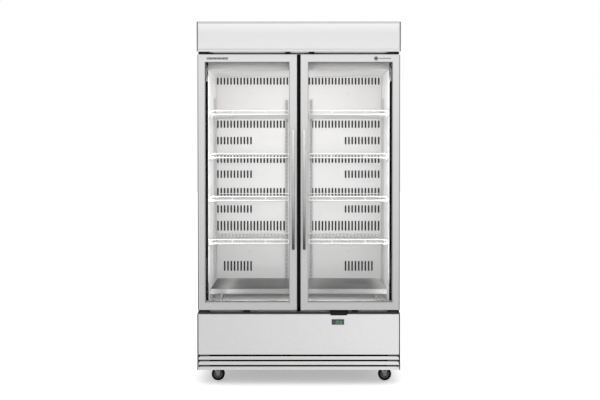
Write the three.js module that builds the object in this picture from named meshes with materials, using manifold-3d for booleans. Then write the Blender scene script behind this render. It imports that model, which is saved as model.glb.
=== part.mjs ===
// Two-door glass merchandiser: an upright refrigerated display cabinet on castors.
// Millimetres, +Z up, +X to the right seen from the front, the doors face -Y.
// The origin is on the floor, at the centre of the cabinet's bounding box.
import * as THREE from "three";
import { mergeVertices } from "three/addons/utils/BufferGeometryUtils.js";
import Module from "manifold-3d";

const wasm = await Module();
wasm.setup();

// ---------- driving dimensions ----------

const halfWidth = 565;
const totalHeight = 2018;
const halfDepth = 355; // handle fronts to rear skin, both measured from the origin
const gap = 0.3; // between neighbouring pieces
const sheet = 1.2; // sheet steel

// planes across the depth
const doorFrontY = -317;
const doorThickness = 45;
const cabinetFrontY = -262;
const baseFrontY = doorFrontY + 2;
const dividerY = 273; // front face of the slotted rear duct panel
const linerBackY = 298;

// levels
const panelBottomZ = 84;
const panZ = 98;
const panelTopZ = 395;
const baseTopZ = 400;
const doorBottomZ = 418;
const floorZ = 450;
const ceilingZ = 1762;
const doorTopZ = 1838;
const topZ = 1841;
const headerBottomZ = 1853;

// cabinet interior
const linerX = 508; // inner face of the side liner
const lampX = 524; // outer edge of the corner notch that holds the lamp profile
const lampDepth = 22;
const lampBottomZ = 464;
const lampTopZ = 1714;
const recessTopZ = 1806; // the recess above the lamp, where its lead goes in
const flangeTopZ = 1812; // upper edge of the liner's front flange
const mullionHalf = 36;
const mullionDepth = 26;

// doors
const doorInnerX = 10;
const doorOuterX = 562;
const stileWidth = 41;
const topRailHeight = 41;
const bottomRailHeight = 44;
const hingeX = 549;
const hingeY = doorFrontY + 20;
const pinRadius = 6;
const pinReach = 20; // length of hinge pin inside the door
const glassSetback = 6;
const glassThickness = 20;
const glassBite = 12; // how far the glass runs into the frame

// handles
const handleX = 30;
const handleRadius = 7.5;
const handleBottomZ = 757;
const handleTopZ = 1419;

// shelves
const shelfCount = 4;
const topShelfZ = 1510;
const shelfPitch = 242.7;
const shelfFrontY = -225;
const shelfBackY = 255;
const wire = 6;
const lipHeight = 21;
const wireSpaces = 15;

// castors
const castorX = 473;
const castorYs = { front: -195, rear: 250 };
const wheelRadius = 37.5;
const wheelWidth = 24;
const castorTrail = 15;

// ---------- materials ----------

const paint = (name, color, roughness, metalness) =>
  new THREE.MeshStandardMaterial({ name, color, roughness, metalness });

const silverPaint = paint("silver_paint", 0xd6d6d5, 0.42, 0.25);
const whitePaint = paint("white_paint", 0xf2f1f0, 0.45, 0);
const foam = paint("foam", 0xe6d9a8, 0.95, 0);
const blackPlastic = paint("black_plastic", 0x101012, 0.5, 0);
const stainless = paint("stainless_steel", 0xb4b3b2, 0.28, 1);
const zinc = paint("zinc_plate", 0x8e9092, 0.45, 0.9);
const darkSteel = paint("dark_steel", 0x3b3c3e, 0.5, 0.6);
const diffuser = paint("sign_acrylic", 0xe8e8e8, 0.3, 0);
const glass = paint("glass", 0xdfeaea, 0.05, 0);
const rubber = paint("gasket_rubber", 0x18181a, 0.8, 0);
const polished = paint("polished_aluminium", 0xc9cacb, 0.18, 1);
const finStock = paint("fin_aluminium", 0xa9adb0, 0.4, 1);
const tyre = paint("tyre_rubber", 0x141415, 0.75, 0);
const display = paint("display_lens", 0x07090c, 0.08, 0);

// ---------- geometry helpers ----------

const box = (x0, x1, y0, y1, z0, z1) =>
  new THREE.BoxGeometry(x1 - x0, y1 - y0, z1 - z0).translate((x0 + x1) / 2, (y0 + y1) / 2, (z0 + z1) / 2);

// A box given by its distances from the centre plane, on the left (side -1) or the right (side 1).
const sideBox = (side, near, far, y0, y1, z0, z1) =>
  side < 0 ? box(-far, -near, y0, y1, z0, z1) : box(near, far, y0, y1, z0, z1);

const outline = (points) => new THREE.Shape(points.map(([x, y]) => new THREE.Vector2(x, y)));

const extrude = (shape, depth) =>
  new THREE.ExtrudeGeometry(shape, { depth, bevelEnabled: false, curveSegments: 6 });

// The shape's axes are Y and Z.
const alongX = (shape, x0, x1) =>
  extrude(shape, x1 - x0)
    .applyMatrix4(
      new THREE.Matrix4().makeBasis(
        new THREE.Vector3(0, 1, 0),
        new THREE.Vector3(0, 0, 1),
        new THREE.Vector3(1, 0, 0),
      ),
    )
    .translate(x0, 0, 0);

// The shape's axes are X and Z.
const alongY = (shape, y0, y1) =>
  extrude(shape, y1 - y0)
    .applyMatrix4(
      new THREE.Matrix4().makeBasis(
        new THREE.Vector3(1, 0, 0),
        new THREE.Vector3(0, 0, 1),
        new THREE.Vector3(0, -1, 0),
      ),
    )
    .translate(0, y1, 0);

const cylinderZ = (radius, x, y, z0, z1, sides = 16) =>
  new THREE.CylinderGeometry(radius, radius, z1 - z0, sides).rotateX(Math.PI / 2).translate(x, y, (z0 + z1) / 2);

const cylinderY = (radius, x, z, y0, y1, sides = 16) =>
  new THREE.CylinderGeometry(radius, radius, y1 - y0, sides).translate(x, (y0 + y1) / 2, z);

// A round bar along a curve.
const tube = (points, radius, steps, sides = 8) => {
  const section = [];
  for (let i = 0; i < sides; i++) {
    const angle = (2 * Math.PI * i) / sides;
    section.push([radius * Math.cos(angle), radius * Math.sin(angle)]);
  }
  const path = new THREE.CatmullRomCurve3(points.map((p) => new THREE.Vector3(...p)));
  return new THREE.ExtrudeGeometry(outline(section), { steps, extrudePath: path, bevelEnabled: false });
};

const toSolid = (geometry) => {
  const bare = geometry.clone();
  bare.deleteAttribute("normal");
  bare.deleteAttribute("uv");
  const merged = mergeVertices(bare, 1e-3);
  return new wasm.Manifold(
    new wasm.Mesh({
      numProp: 3,
      vertProperties: new Float32Array(merged.attributes.position.array),
      triVerts: new Uint32Array(merged.index.array),
    }),
  );
};

const toGeometry = (solid) => {
  const mesh = solid.getMesh();
  const stride = mesh.numProp;
  const positions = new Float32Array(mesh.numVert * 3);
  for (let i = 0; i < mesh.numVert; i++) {
    positions.set(mesh.vertProperties.subarray(i * stride, i * stride + 3), i * 3);
  }
  return new THREE.BufferGeometry()
    .setAttribute("position", new THREE.BufferAttribute(positions, 3))
    .setIndex(new THREE.BufferAttribute(mesh.triVerts, 1));
};

const join = (...pieces) => toGeometry(pieces.map(toSolid).reduce((whole, piece) => whole.add(piece)));

const cut = (piece, ...tools) =>
  toGeometry(tools.map(toSolid).reduce((rest, tool) => rest.subtract(tool), toSolid(piece)));

const part = (name, geometry, material) => {
  const mesh = new THREE.Mesh(geometry, material);
  mesh.name = name;
  return mesh;
};

const sides = [
  ["left", -1],
  ["right", 1],
];

// ---------- insulated cabinet ----------

// Air leaves the interior through the front opening in the floor and comes back behind the duct panel.
const airOpenings = [
  [-440, -80, -215, -170],
  [-440, -80, dividerY + 5, linerBackY - 2],
];
const airTools = (z0, z1) => airOpenings.map(([x0, x1, y0, y1]) => box(x0, x1, y0, y1, z0, z1));

function sidePanel(side) {
  const skin = outline([
    [cabinetFrontY, topZ],
    [cabinetFrontY, baseTopZ],
    [baseFrontY, baseTopZ],
    [baseFrontY, panelBottomZ],
    [halfDepth, panelBottomZ],
    [halfDepth, topZ],
  ]);
  const far = halfWidth;
  const near = halfWidth - sheet;
  const lipWidth = 5;
  return join(
    side < 0 ? alongX(skin, -far, -near) : alongX(skin, near, far),
    sideBox(side, lampX + gap, near + 0.5, cabinetFrontY, cabinetFrontY + sheet, baseTopZ + 1, topZ),
    sideBox(side, near - lipWidth, near + 0.5, baseFrontY, baseFrontY + sheet, panelBottomZ, baseTopZ),
  );
}

function topPanel() {
  const near = halfWidth - sheet - gap;
  return join(
    box(-near, near, cabinetFrontY + sheet + gap, halfDepth - sheet - gap, topZ - sheet, topZ),
    box(-lampX, lampX, cabinetFrontY, cabinetFrontY + sheet, flangeTopZ + gap, topZ),
    box(-lampX, lampX, cabinetFrontY, cabinetFrontY + 5, topZ - sheet, topZ),
  );
}

function rearPanel() {
  const near = halfWidth - sheet - gap;
  return box(-near, near, halfDepth - sheet, halfDepth, baseTopZ + 1, topZ);
}

function foamBody() {
  const outerX = halfWidth - sheet - gap;
  const innerX = linerX + sheet + gap;
  const frontY = cabinetFrontY + sheet + gap;
  const backY = halfDepth - sheet - gap;
  const bottomZ = baseTopZ + 1;
  const upperZ = topZ - sheet - gap;
  const lampNotches = sides.map(([, side]) =>
    sideBox(side, innerX - 5, lampX, frontY - 1, cabinetFrontY + lampDepth, lampBottomZ, recessTopZ),
  );
  return cut(
    box(-outerX, outerX, frontY, backY, bottomZ, upperZ),
    box(-innerX, innerX, frontY - 1, linerBackY + sheet + gap, floorZ - sheet - gap, ceilingZ + sheet + gap),
    ...lampNotches,
    ...airTools(bottomZ - 1, floorZ),
  );
}

function innerLiner() {
  const outerX = linerX + sheet;
  const lampNotches = sides.map(([, side]) =>
    sideBox(side, linerX - 1, lampX + 1, cabinetFrontY - 1, cabinetFrontY + lampDepth, lampBottomZ, recessTopZ),
  );
  const shell = cut(
    box(-outerX, outerX, cabinetFrontY, linerBackY + sheet, floorZ - sheet, ceilingZ + sheet),
    box(-linerX, linerX, cabinetFrontY - 1, linerBackY, floorZ, ceilingZ),
    ...airTools(floorZ - 5, floorZ + 5),
  );
  return cut(
    join(
      shell,
      box(-lampX, lampX, cabinetFrontY, cabinetFrontY + sheet, ceilingZ + 0.5, flangeTopZ),
      box(-lampX, lampX, cabinetFrontY, cabinetFrontY + sheet, baseTopZ + 2, floorZ - 0.5),
      ...sides.map(([, side]) =>
        sideBox(side, linerX, lampX, cabinetFrontY, cabinetFrontY + sheet, baseTopZ + 2, lampBottomZ),
      ),
    ),
    ...lampNotches,
  );
}

// Blowing slots in the duct panel: [lowest Z, highest Z, first column, last column] of each row.
const slotRows = [
  [1712, 1757, 1, 23],
  [1447, 1494, 1, 23],
  [1346, 1394, 1, 11],
  [1232, 1280, 1, 23],
  [1140, 1188, 1, 11],
  [1031, 1080, 1, 23],
  [926, 974, 1, 11],
  [816, 878, 1, 23],
  [568, 631, 3, 11],
];
const slotPitch = 20.3;
const firstSlotX = { left: 497, right: 490 };

// Each row's slots are one opening here, on either side of the centre.
function ductPanel() {
  const holes = [];
  for (const [name, side] of sides) {
    for (const [z0, z1, first, last] of slotRows) {
      const outer = firstSlotX[name] - slotPitch * (first - 1) + 5;
      const inner = firstSlotX[name] - slotPitch * (last - 1) - 5;
      holes.push(sideBox(side, inner, outer, dividerY - 1, dividerY + 4, z0, z1));
    }
  }
  const edge = linerX - 1;
  return cut(box(-edge, edge, dividerY, dividerY + 3, floorZ + 2, ceilingZ - 1), ...holes);
}

function mullion() {
  return box(
    -mullionHalf,
    mullionHalf,
    cabinetFrontY,
    cabinetFrontY + mullionDepth,
    floorZ + gap,
    ceilingZ - gap,
  );
}

// A black profile with the light strip. Its back runs on up the recess, where a short lead goes in.
function lamp(side) {
  const near = linerX + gap;
  const far = lampX - gap;
  const x = side * ((near + far) / 2);
  const y = cabinetFrontY;
  const lead = tube(
    [
      [x + side * 2, y + 8, lampTopZ - 6],
      [x + side * 2, y + 7, lampTopZ + 8],
      [x - side * 3, y + 4, lampTopZ + 22],
      [x - side * 3, y + 3, lampTopZ + 40],
      [x + side * 3, y + 4, lampTopZ + 54],
      [x + side * 2, y + 10, lampTopZ + 66],
      [x, y + 18, lampTopZ + 70],
    ],
    2.2,
    14,
  );
  return join(
    sideBox(side, near, far, y, y + lampDepth - gap, lampBottomZ + gap, lampTopZ),
    sideBox(side, near, far, y + lampDepth - 4, y + lampDepth - gap, lampTopZ - 1, recessTopZ - gap),
    lead,
  );
}

// ---------- header ----------

function headerCasing() {
  const wall = 2;
  const back = -150;
  const inner = halfWidth - wall;
  return cut(
    join(
      box(-halfWidth, halfWidth, doorFrontY, back, headerBottomZ, totalHeight),
      box(-495, 495, -250, back, topZ + gap, headerBottomZ + 1),
    ),
    box(-inner, inner, doorFrontY + wall, back - wall, headerBottomZ + wall, totalHeight - wall),
    box(-(halfWidth - 7), halfWidth - 7, doorFrontY - 1, doorFrontY + 5, headerBottomZ + 10, totalHeight - 7),
  );
}

function signPanel() {
  const edge = halfWidth - 7 - gap;
  return box(
    -edge,
    edge,
    doorFrontY + 0.5,
    doorFrontY + 3.5,
    headerBottomZ + 10 + gap,
    totalHeight - 7 - gap,
  );
}

// ---------- interior fittings ----------

const trayTopZ = 526;
const trayBottomZ = 496;
const trayX = 498;
const trayFrontY = -234;
const trayBackY = 258;

function baseTray() {
  const thick = 1.5;
  const turnedDown = outline([
    [trayFrontY, trayBottomZ],
    [trayFrontY, trayTopZ],
    [trayBackY, trayTopZ],
    [trayBackY, trayTopZ - 18],
    [trayBackY - thick, trayTopZ - 18],
    [trayBackY - thick, trayTopZ - thick],
    [trayFrontY + thick, trayTopZ - thick],
    [trayFrontY + thick, trayBottomZ],
  ]);
  return alongX(turnedDown, -trayX, trayX);
}

// A wire cradle under each end of the tray: two loops joined by runners.
function traySupport(side) {
  const near = 434;
  const far = 496;
  const top = trayTopZ - 1.5 - gap;
  const bottom = 459;
  const loop = (y) =>
    cut(
      sideBox(side, near, far, y, y + wire, bottom, top),
      sideBox(side, near + wire, far - wire, y - 1, y + wire + 1, bottom + wire, top - wire),
    );
  const front = trayFrontY + 4;
  const back = trayBackY - 14;
  return join(
    loop(front),
    loop(back),
    sideBox(side, near, near + wire, front, back + wire, bottom, bottom + wire),
    sideBox(side, far - wire, far, front, back + wire, bottom, bottom + wire),
    sideBox(side, near + 10, near + 10 + wire, front, front + wire, floorZ + gap, bottom + 1),
    sideBox(side, far - 10 - wire, far - 10, front, front + wire, floorZ + gap, bottom + 1),
    sideBox(side, near + 10, near + 10 + wire, back, back + wire, floorZ + gap, bottom + 1),
    sideBox(side, far - 10 - wire, far - 10, back, back + wire, floorZ + gap, bottom + 1),
  );
}

// A wire shelf, with its deck's centre plane at Z 0: the deck, a raised lip in front and behind.
function shelf(side) {
  const half = wire / 2;
  const near = 56;
  const far = 494;
  const pitch = (far - near - wire) / wireSpaces;
  const spaces = [];
  for (let i = 0; i < wireSpaces; i++) {
    const start = near + wire + pitch * i;
    const end = start + pitch - wire;
    spaces.push(sideBox(side, start, end, shelfFrontY + wire, shelfBackY - wire, -wire, wire));
  }
  const deck = cut(sideBox(side, near, far, shelfFrontY, shelfBackY, -half, half), ...spaces);
  const lip = (ends, ties, y) => {
    const [bottomNear, bottomFar, topNear, topFar] = ends;
    const points = [
      [bottomNear, -half],
      [bottomFar, -half],
      [bottomFar, half],
      [topFar, lipHeight + half],
      [topNear, lipHeight + half],
      [bottomNear, half],
    ].map(([x, z]) => [side * x, z]);
    const posts = [topNear + half, ...ties, topFar - half];
    const windows = posts
      .slice(1)
      .map((post, i) => sideBox(side, posts[i] + half, post - half, y - 1, y + wire + 1, half, lipHeight - half));
    return cut(alongY(outline(points), y, y + wire), ...windows);
  };
  return join(
    deck,
    lip([44, 505, 62, 495], [187, 375], shelfFrontY),
    lip([near, far, near + 1, far - 1], [187, 375], shelfBackY - wire),
  );
}

const pilasterBottomZ = 534;
const pilasterTopZ = 1618;
const outerPilasterY = 112;

// The inner pilaster is on the duct panel, the outer one on the side liner.
function innerPilaster(side) {
  return sideBox(side, 66, 82, dividerY - 10, dividerY - gap, pilasterBottomZ, pilasterTopZ);
}

function outerPilaster(side) {
  const y = outerPilasterY;
  return sideBox(side, linerX - 11, linerX - gap, y, y + 18, pilasterBottomZ, pilasterTopZ);
}

// ---------- base and refrigeration ----------

// An open-topped box under the air openings in the floor holds the evaporator. It stands on two rails.
const coilBox = { x0: -460, x1: -60, y0: -229, y1: 310, z0: 222, wall: 11 };

function baseChassis() {
  const edge = halfWidth - sheet - 6;
  const thick = 3;
  const front = baseFrontY + 10;
  const back = halfDepth - 6;
  const { x0, x1, y0, y1, z0, wall } = coilBox;
  const housing = cut(
    box(x0, x1, y0, y1, z0, baseTopZ),
    box(x0 + wall, x1 - wall, y0 + wall, y1 - wall, z0 + wall, baseTopZ + 1),
  );
  return join(
    box(-edge, edge, front, back, panZ, panZ + thick),
    box(-edge, -edge + thick, front, back, panZ, baseTopZ),
    box(edge - thick, edge, front, back, panZ, baseTopZ),
    box(-edge, edge, front, y0 + 4, baseTopZ - thick, baseTopZ),
    box(-edge, edge, y1 - 4, back, baseTopZ - thick, baseTopZ),
    housing,
    box(x0, x0 + 20, y0, y1, panZ, z0 + 1),
    box(x1 - 20, x1, y0, y1, panZ, z0 + 1),
  );
}

const controller = { x0: 181, x1: 254, z0: 335, z1: 369 };

const louvreZs = [110, 139, 167];
const louvreHalf = 5;

function lowerFrontPanel() {
  const edge = halfWidth - sheet - 5 - gap;
  const y = baseFrontY;
  const opening = (x0, x1, z0, z1) => box(x0, x1, y - 1, y + 3, z0, z1);
  const slots = louvreZs.map((z) => opening(-edge + 8, edge - 8, z - louvreHalf, z + louvreHalf));
  const window = opening(controller.x0 + 2, controller.x1 - 2, controller.z0 + 3, controller.z1 - 3);
  const face = cut(box(-edge, edge, y, y + 2, panelBottomZ, panelTopZ), ...slots, window);
  return join(face, box(-edge, edge, baseFrontY, baseFrontY + 9, panelTopZ - 2, panelTopZ));
}

function controllerHousing() {
  const { x0, x1, z0, z1 } = controller;
  const y = baseFrontY - gap;
  return join(
    box(x0, x1, y - 2, y, z0, z1),
    box(x0 + 2 + gap, x1 - 2 - gap, y - 1, y + 45, z0 + 3 + gap, z1 - 3 - gap),
  );
}

function controllerDisplay() {
  const { x0, x1, z0, z1 } = controller;
  const y = baseFrontY - gap - 2 - gap;
  return box(x0 + 3, x1 - 3, y - 0.8, y, z0 + 3, z1 - 3);
}

function rearGrille() {
  const edge = halfWidth - sheet - gap;
  const slots = [];
  for (let row = 0; row < 8; row++) {
    const z = 150 + row * 24;
    slots.push(box(-480, -60, halfDepth - 3, halfDepth + 1, z, z + 8));
    slots.push(box(60, 380, halfDepth - 3, halfDepth + 1, z, z + 8));
  }
  const plate = cut(box(-edge, edge, halfDepth - 2, halfDepth, panZ + 4, baseTopZ), ...slots);
  const inlet = box(430, 482, halfDepth - 35, halfDepth - 1, 170, 202);
  const socket = box(436, 476, halfDepth - 22, halfDepth + 1, 176, 196);
  return cut(join(plate, inlet), socket);
}

const compressorAt = [300, 150];

function compressor() {
  const [x, y] = compressorAt;
  const r = 78;
  const profile = [
    [0, 114],
    [r * 0.6, 114],
    [r * 0.92, 126],
    [r, 146],
    [r, 186],
    [r + 4, 188],
    [r + 4, 194],
    [r, 196],
    [r, 230],
    [r * 0.85, 262],
    [r * 0.45, 280],
    [0, 284],
  ].map(([radius, z]) => new THREE.Vector2(radius, z));
  const shell = new THREE.LatheGeometry(profile, 20).rotateX(Math.PI / 2).translate(x, y, 0);
  const feet = box(x - 105, x + 105, y - 60, y + 60, panZ + 3 + gap + 3, panZ + 3 + gap + 16);
  const terminalBox = box(x + r - 12, x + r + 32, y - 34, y + 34, 190, 250);
  return join(shell, feet, terminalBox);
}

const condenserCentre = { x: 240, z: 250 };

// A finned coil: a block of upright fins across the air stream, between two end plates.
function coil(x0, x1, y0, y1, z0, z1, fins) {
  const plate = 2;
  const pitch = (x1 - x0 - plate) / fins;
  const spaces = [];
  for (let i = 0; i < fins; i++) {
    const start = x0 + plate + pitch * i;
    spaces.push(box(start, start + pitch - plate, y0 - 1, y1 + 1, z0 + 8, z1 - 8));
  }
  return cut(box(x0, x1, y0, y1, z0, z1), ...spaces);
}

function condenserCoil() {
  const { x, z } = condenserCentre;
  return coil(x - 180, x + 180, -262, -212, z - 120, z + 120, 24);
}

function condenserShroud() {
  const { x, z } = condenserCentre;
  const y = -206;
  const arm = (angle) => box(-4, 4, y + 58, y + 64, 0, 98).rotateY(angle).translate(x, 0, z);
  return join(
    cut(box(x - 180, x + 180, y, y + 40, z - 120, z + 120), cylinderY(86, x, z, y + 3, y + 50, 32),
      cylinderY(86, x, z, y - 1, y + 10, 32)),
    box(x - 96, x - 88, y + 30, y + 64, z - 4, z + 4),
    box(x + 88, x + 96, y + 30, y + 64, z - 4, z + 4),
    arm(Math.PI / 2),
    arm(-Math.PI / 2),
    cylinderY(34, x, z, y + 46, y + 100, 16),
  );
}

function fanBlade(radius, hub, depth, blades) {
  const pieces = [cylinderY(hub, 0, 0, -depth / 2, depth / 2, 14)];
  for (let i = 0; i < blades; i++) {
    const blade = box(-depth * 0.9, depth * 0.9, -1.2, 1.2, hub - 3, radius)
      .rotateZ(0.5)
      .rotateY((2 * Math.PI * i) / blades);
    pieces.push(blade);
  }
  return join(...pieces);
}

const evaporator = { x0: -440, x1: -80, y0: 60, y1: 190, z0: 240, z1: 385 };
const evaporatorFanAt = [-260, 222, 312];

function evaporatorCoil() {
  const { x0, x1, y0, y1, z0, z1 } = evaporator;
  const [x, y, z] = evaporatorFanAt;
  return join(
    coil(x0, x1, y0, y1, z0, z1, 24),
    cylinderY(24, x, z, y1 - 2, y - 14, 14),
    box(x - 20, x + 20, y1 - 12, y1 + 4, z0 + 2, z1 - 2),
  );
}

// ---------- doors ----------

// One door in its own frame: the hinge axis is the group's Z axis. Distances across the door
// are still given from the cabinet's centre plane, then moved by the hinge's place.
function door(name, side) {
  const group = new THREE.Group();
  group.position.set(side * hingeX, hingeY, 0);
  const local = (geometry) => geometry.translate(-side * hingeX, -hingeY, 0);

  const backY = doorFrontY + doorThickness;
  const openNear = doorInnerX + stileWidth;
  const openFar = doorOuterX - stileWidth;
  const openBottom = doorBottomZ + bottomRailHeight;
  const openTop = doorTopZ - topRailHeight;
  const glassY = doorFrontY + glassSetback;
  const pocket = pinRadius + gap + 0.1;
  const pinHole = (z0, z1) => cylinderZ(pocket, side * hingeX, hingeY, z0, z1, 16);

  const frame = cut(
    sideBox(side, doorInnerX, doorOuterX, doorFrontY, backY, doorBottomZ, doorTopZ),
    sideBox(side, openNear, openFar, doorFrontY - 1, backY + 1, openBottom, openTop),
    sideBox(
      side,
      openNear - glassBite,
      openFar + glassBite,
      glassY,
      glassY + glassThickness + gap,
      openBottom - glassBite,
      openTop + glassBite,
    ),
    pinHole(doorTopZ - pinReach - 3, doorTopZ + 1),
    pinHole(doorBottomZ - 1, doorBottomZ + pinReach + 3),
  );

  const inset = glassBite - gap;
  const pane = 4;
  const spacer = 10;
  const glassBack = glassY + glassThickness;
  const unit = cut(
    sideBox(side, openNear - inset, openFar + inset, glassY + gap, glassBack, openBottom - inset, openTop + inset),
    sideBox(
      side,
      openNear - inset + spacer,
      openFar + inset - spacer,
      glassY + gap + pane,
      glassBack - pane,
      openBottom - inset + spacer,
      openTop + inset - spacer,
    ),
    // the filling hole through the spacer
    box(side * 200 - 2, side * 200 + 2, glassY + 8, glassY + 12, openTop, openTop + inset + 1),
  );

  const sealNear = 14;
  const sealFar = 547;
  const sealWidth = 20;
  const gasket = cut(
    sideBox(side, sealNear, sealFar, backY + gap, cabinetFrontY - gap, doorBottomZ + 10, doorTopZ - 10),
    sideBox(
      side,
      sealNear + sealWidth,
      sealFar - sealWidth,
      backY - 1,
      cabinetFrontY + 1,
      doorBottomZ + 10 + sealWidth,
      doorTopZ - 10 - sealWidth,
    ),
  );

  const barY = -halfDepth + handleRadius;
  const x = side * handleX;
  const standoff = (z) => cylinderY(6, x, z, barY, doorFrontY - gap, 12);
  const handle = join(
    cylinderZ(handleRadius, x, barY, handleBottomZ, handleTopZ, 16),
    standoff(handleBottomZ + 30),
    standoff(handleTopZ - 30),
  );

  group.add(
    part(`${name}_door_frame`, local(frame), silverPaint),
    part(`${name}_glass_unit`, local(unit), glass),
    part(`${name}_door_gasket`, local(gasket), rubber),
    part(`${name}_handle`, local(handle), polished),
  );
  return group;
}

// Hinge brackets stay on the cabinet. Their pins turn in the door frame.
function topHinge(side) {
  const z = topZ + gap;
  return join(
    sideBox(side, 503, 557, doorFrontY + 4, -256, z, z + 9.5),
    sideBox(side, 503, 557, -257, -190, z, z + 5),
    cylinderZ(pinRadius, side * hingeX, hingeY, doorTopZ - pinReach, z + 1, 16),
  );
}

function bottomHinge(side) {
  const z = baseTopZ + gap;
  return join(
    sideBox(side, 500, 558, doorFrontY + 4, cabinetFrontY - gap, z, z + 14),
    cylinderZ(pinRadius, side * hingeX, hingeY, z + 13, doorBottomZ + pinReach, 16),
  );
}

// ---------- castors ----------

// The brake pedal pivots between the fork arms at X -8, Z 78. Its shoe clears the tread by 4 mm when up.
const brakeProfile = [
  [-2, 72],
  [-2, 80.5],
  [-15, 81],
  [-30, 74],
  [-46, 67.5],
  [-45, 63],
  [-27, 67],
  [-15, 70],
];

// One castor in its own frame: the swivel axis is the group's Z axis, and the wheel trails along X.
function castor(name, x, y, braked) {
  const group = new THREE.Group();
  group.position.set(x, y, 0);
  const top = panZ - 0.5;
  const armInner = wheelWidth / 2 + 2.5;
  const armOuter = armInner + 2.5;
  const axleRadius = 4;

  const arm = new THREE.Shape();
  arm.moveTo(-24, top - 6);
  arm.lineTo(-24, top - 16);
  arm.lineTo(castorTrail - 12, wheelRadius);
  arm.absarc(castorTrail, wheelRadius, 12, Math.PI, 0, false);
  arm.lineTo(32, top - 16);
  arm.lineTo(32, top - 6);
  arm.closePath();
  const fork = join(
    cylinderZ(30, 0, 0, top - 10, top, 20),
    box(-24, 32, -armOuter, armOuter, top - 14, top - 8),
    alongY(arm, -armOuter, -armInner),
    alongY(arm, armInner, armOuter),
    cylinderY(axleRadius, castorTrail, wheelRadius, -armOuter - 3, armOuter + 3, 12),
  );

  const bore = axleRadius + 0.5;
  const halfTread = wheelWidth / 2;
  const profile = [
    [bore, -halfTread + 1],
    [14, -halfTread + 1],
    [15, -halfTread + 5],
    [26, -halfTread + 5],
    [28, -halfTread],
    [wheelRadius - 3, -halfTread],
    [wheelRadius, -halfTread + 5],
    [wheelRadius, halfTread - 5],
    [wheelRadius - 3, halfTread],
    [28, halfTread],
    [26, halfTread - 5],
    [15, halfTread - 5],
    [14, halfTread - 1],
    [bore, halfTread - 1],
    [bore, -halfTread + 1],
  ].map(([radius, along]) => new THREE.Vector2(radius, along));
  const wheel = new THREE.LatheGeometry(profile, 24);
  const wheelMesh = part(`${name}_castor_wheel`, wheel, tyre);
  wheelMesh.position.set(castorTrail, 0, wheelRadius);

  group.add(part(`${name}_castor_fork`, fork, zinc), wheelMesh);

  if (braked) {
    const half = armInner - 1;
    const pedal = alongY(outline(brakeProfile), -half, half);
    group.add(part(`${name}_castor_brake`, pedal, blackPlastic));
  }
  return group;
}

// ---------- assembly ----------

const merchandiser = new THREE.Group();

merchandiser.add(
  part("top_panel", topPanel(), silverPaint),
  part("rear_panel", rearPanel(), zinc),
  part("foam_body", foamBody(), foam),
  part("inner_liner", innerLiner(), whitePaint),
  part("rear_duct_panel", ductPanel(), whitePaint),
  part("centre_mullion", mullion(), blackPlastic),
  part("header_casing", headerCasing(), silverPaint),
  part("sign_panel", signPanel(), diffuser),
  part("base_tray", baseTray(), stainless),
  part("base_chassis", baseChassis(), darkSteel),
  part("lower_front_panel", lowerFrontPanel(), silverPaint),
  part("controller_housing", controllerHousing(), blackPlastic),
  part("controller_display", controllerDisplay(), display),
  part("rear_grille", rearGrille(), darkSteel),
  part("compressor", compressor(), darkSteel),
  part("condenser_coil", condenserCoil(), finStock),
  part("condenser_fan_shroud", condenserShroud(), zinc),
  part("evaporator_coil", evaporatorCoil(), finStock),
);

const condenserFan = part("condenser_fan_blade", fanBlade(80, 26, 22, 5), blackPlastic);
condenserFan.position.set(condenserCentre.x, -186, condenserCentre.z);
const evaporatorFan = part("evaporator_fan_blade", fanBlade(62, 20, 18, 5), blackPlastic);
evaporatorFan.position.set(...evaporatorFanAt);
merchandiser.add(condenserFan, evaporatorFan);

for (const [name, side] of sides) {
  merchandiser.add(
    part(`${name}_side_panel`, sidePanel(side), silverPaint),
    part(`${name}_lamp`, lamp(side), blackPlastic),
    part(`${name}_tray_support`, traySupport(side), zinc),
    part(`${name}_inner_pilaster`, innerPilaster(side), zinc),
    part(`${name}_outer_pilaster`, outerPilaster(side), zinc),
    part(`${name}_top_hinge`, topHinge(side), blackPlastic),
    part(`${name}_bottom_hinge`, bottomHinge(side), blackPlastic),
    door(name, side),
  );
  for (let level = 1; level <= shelfCount; level++) {
    const deck = part(`${name}_shelf_${level}`, shelf(side), whitePaint);
    deck.position.z = topShelfZ - shelfPitch * (level - 1);
    merchandiser.add(deck);
  }
  for (const [end, y] of Object.entries(castorYs)) {
    merchandiser.add(castor(`${end}_${name}`, side * castorX, y, end === "front"));
  }
}

export default merchandiser;
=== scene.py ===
"""Looks of a two-door glass merchandiser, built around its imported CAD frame.

Lengths are millimetres in the part's frame (X right, Y back, Z up) and become metres when a mesh
is made. Colour gradients, lights and the camera are in metres.
"""

import math

import bmesh
import bpy
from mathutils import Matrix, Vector
from mathutils.geometry import delaunay_2d_cdt


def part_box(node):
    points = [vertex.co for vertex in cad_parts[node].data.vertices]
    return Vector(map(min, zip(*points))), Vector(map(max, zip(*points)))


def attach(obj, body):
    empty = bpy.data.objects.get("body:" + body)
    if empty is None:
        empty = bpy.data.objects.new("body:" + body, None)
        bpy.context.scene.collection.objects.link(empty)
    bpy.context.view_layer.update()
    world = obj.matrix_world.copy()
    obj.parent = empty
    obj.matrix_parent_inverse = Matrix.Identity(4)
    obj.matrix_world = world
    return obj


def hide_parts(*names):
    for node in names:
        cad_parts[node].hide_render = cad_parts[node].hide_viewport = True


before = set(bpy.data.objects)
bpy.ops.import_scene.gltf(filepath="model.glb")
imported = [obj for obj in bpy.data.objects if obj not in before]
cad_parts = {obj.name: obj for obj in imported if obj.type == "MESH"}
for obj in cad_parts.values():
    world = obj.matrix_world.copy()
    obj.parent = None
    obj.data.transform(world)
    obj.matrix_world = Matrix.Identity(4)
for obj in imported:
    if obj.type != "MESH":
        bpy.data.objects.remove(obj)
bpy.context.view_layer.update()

MM = 0.001
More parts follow.
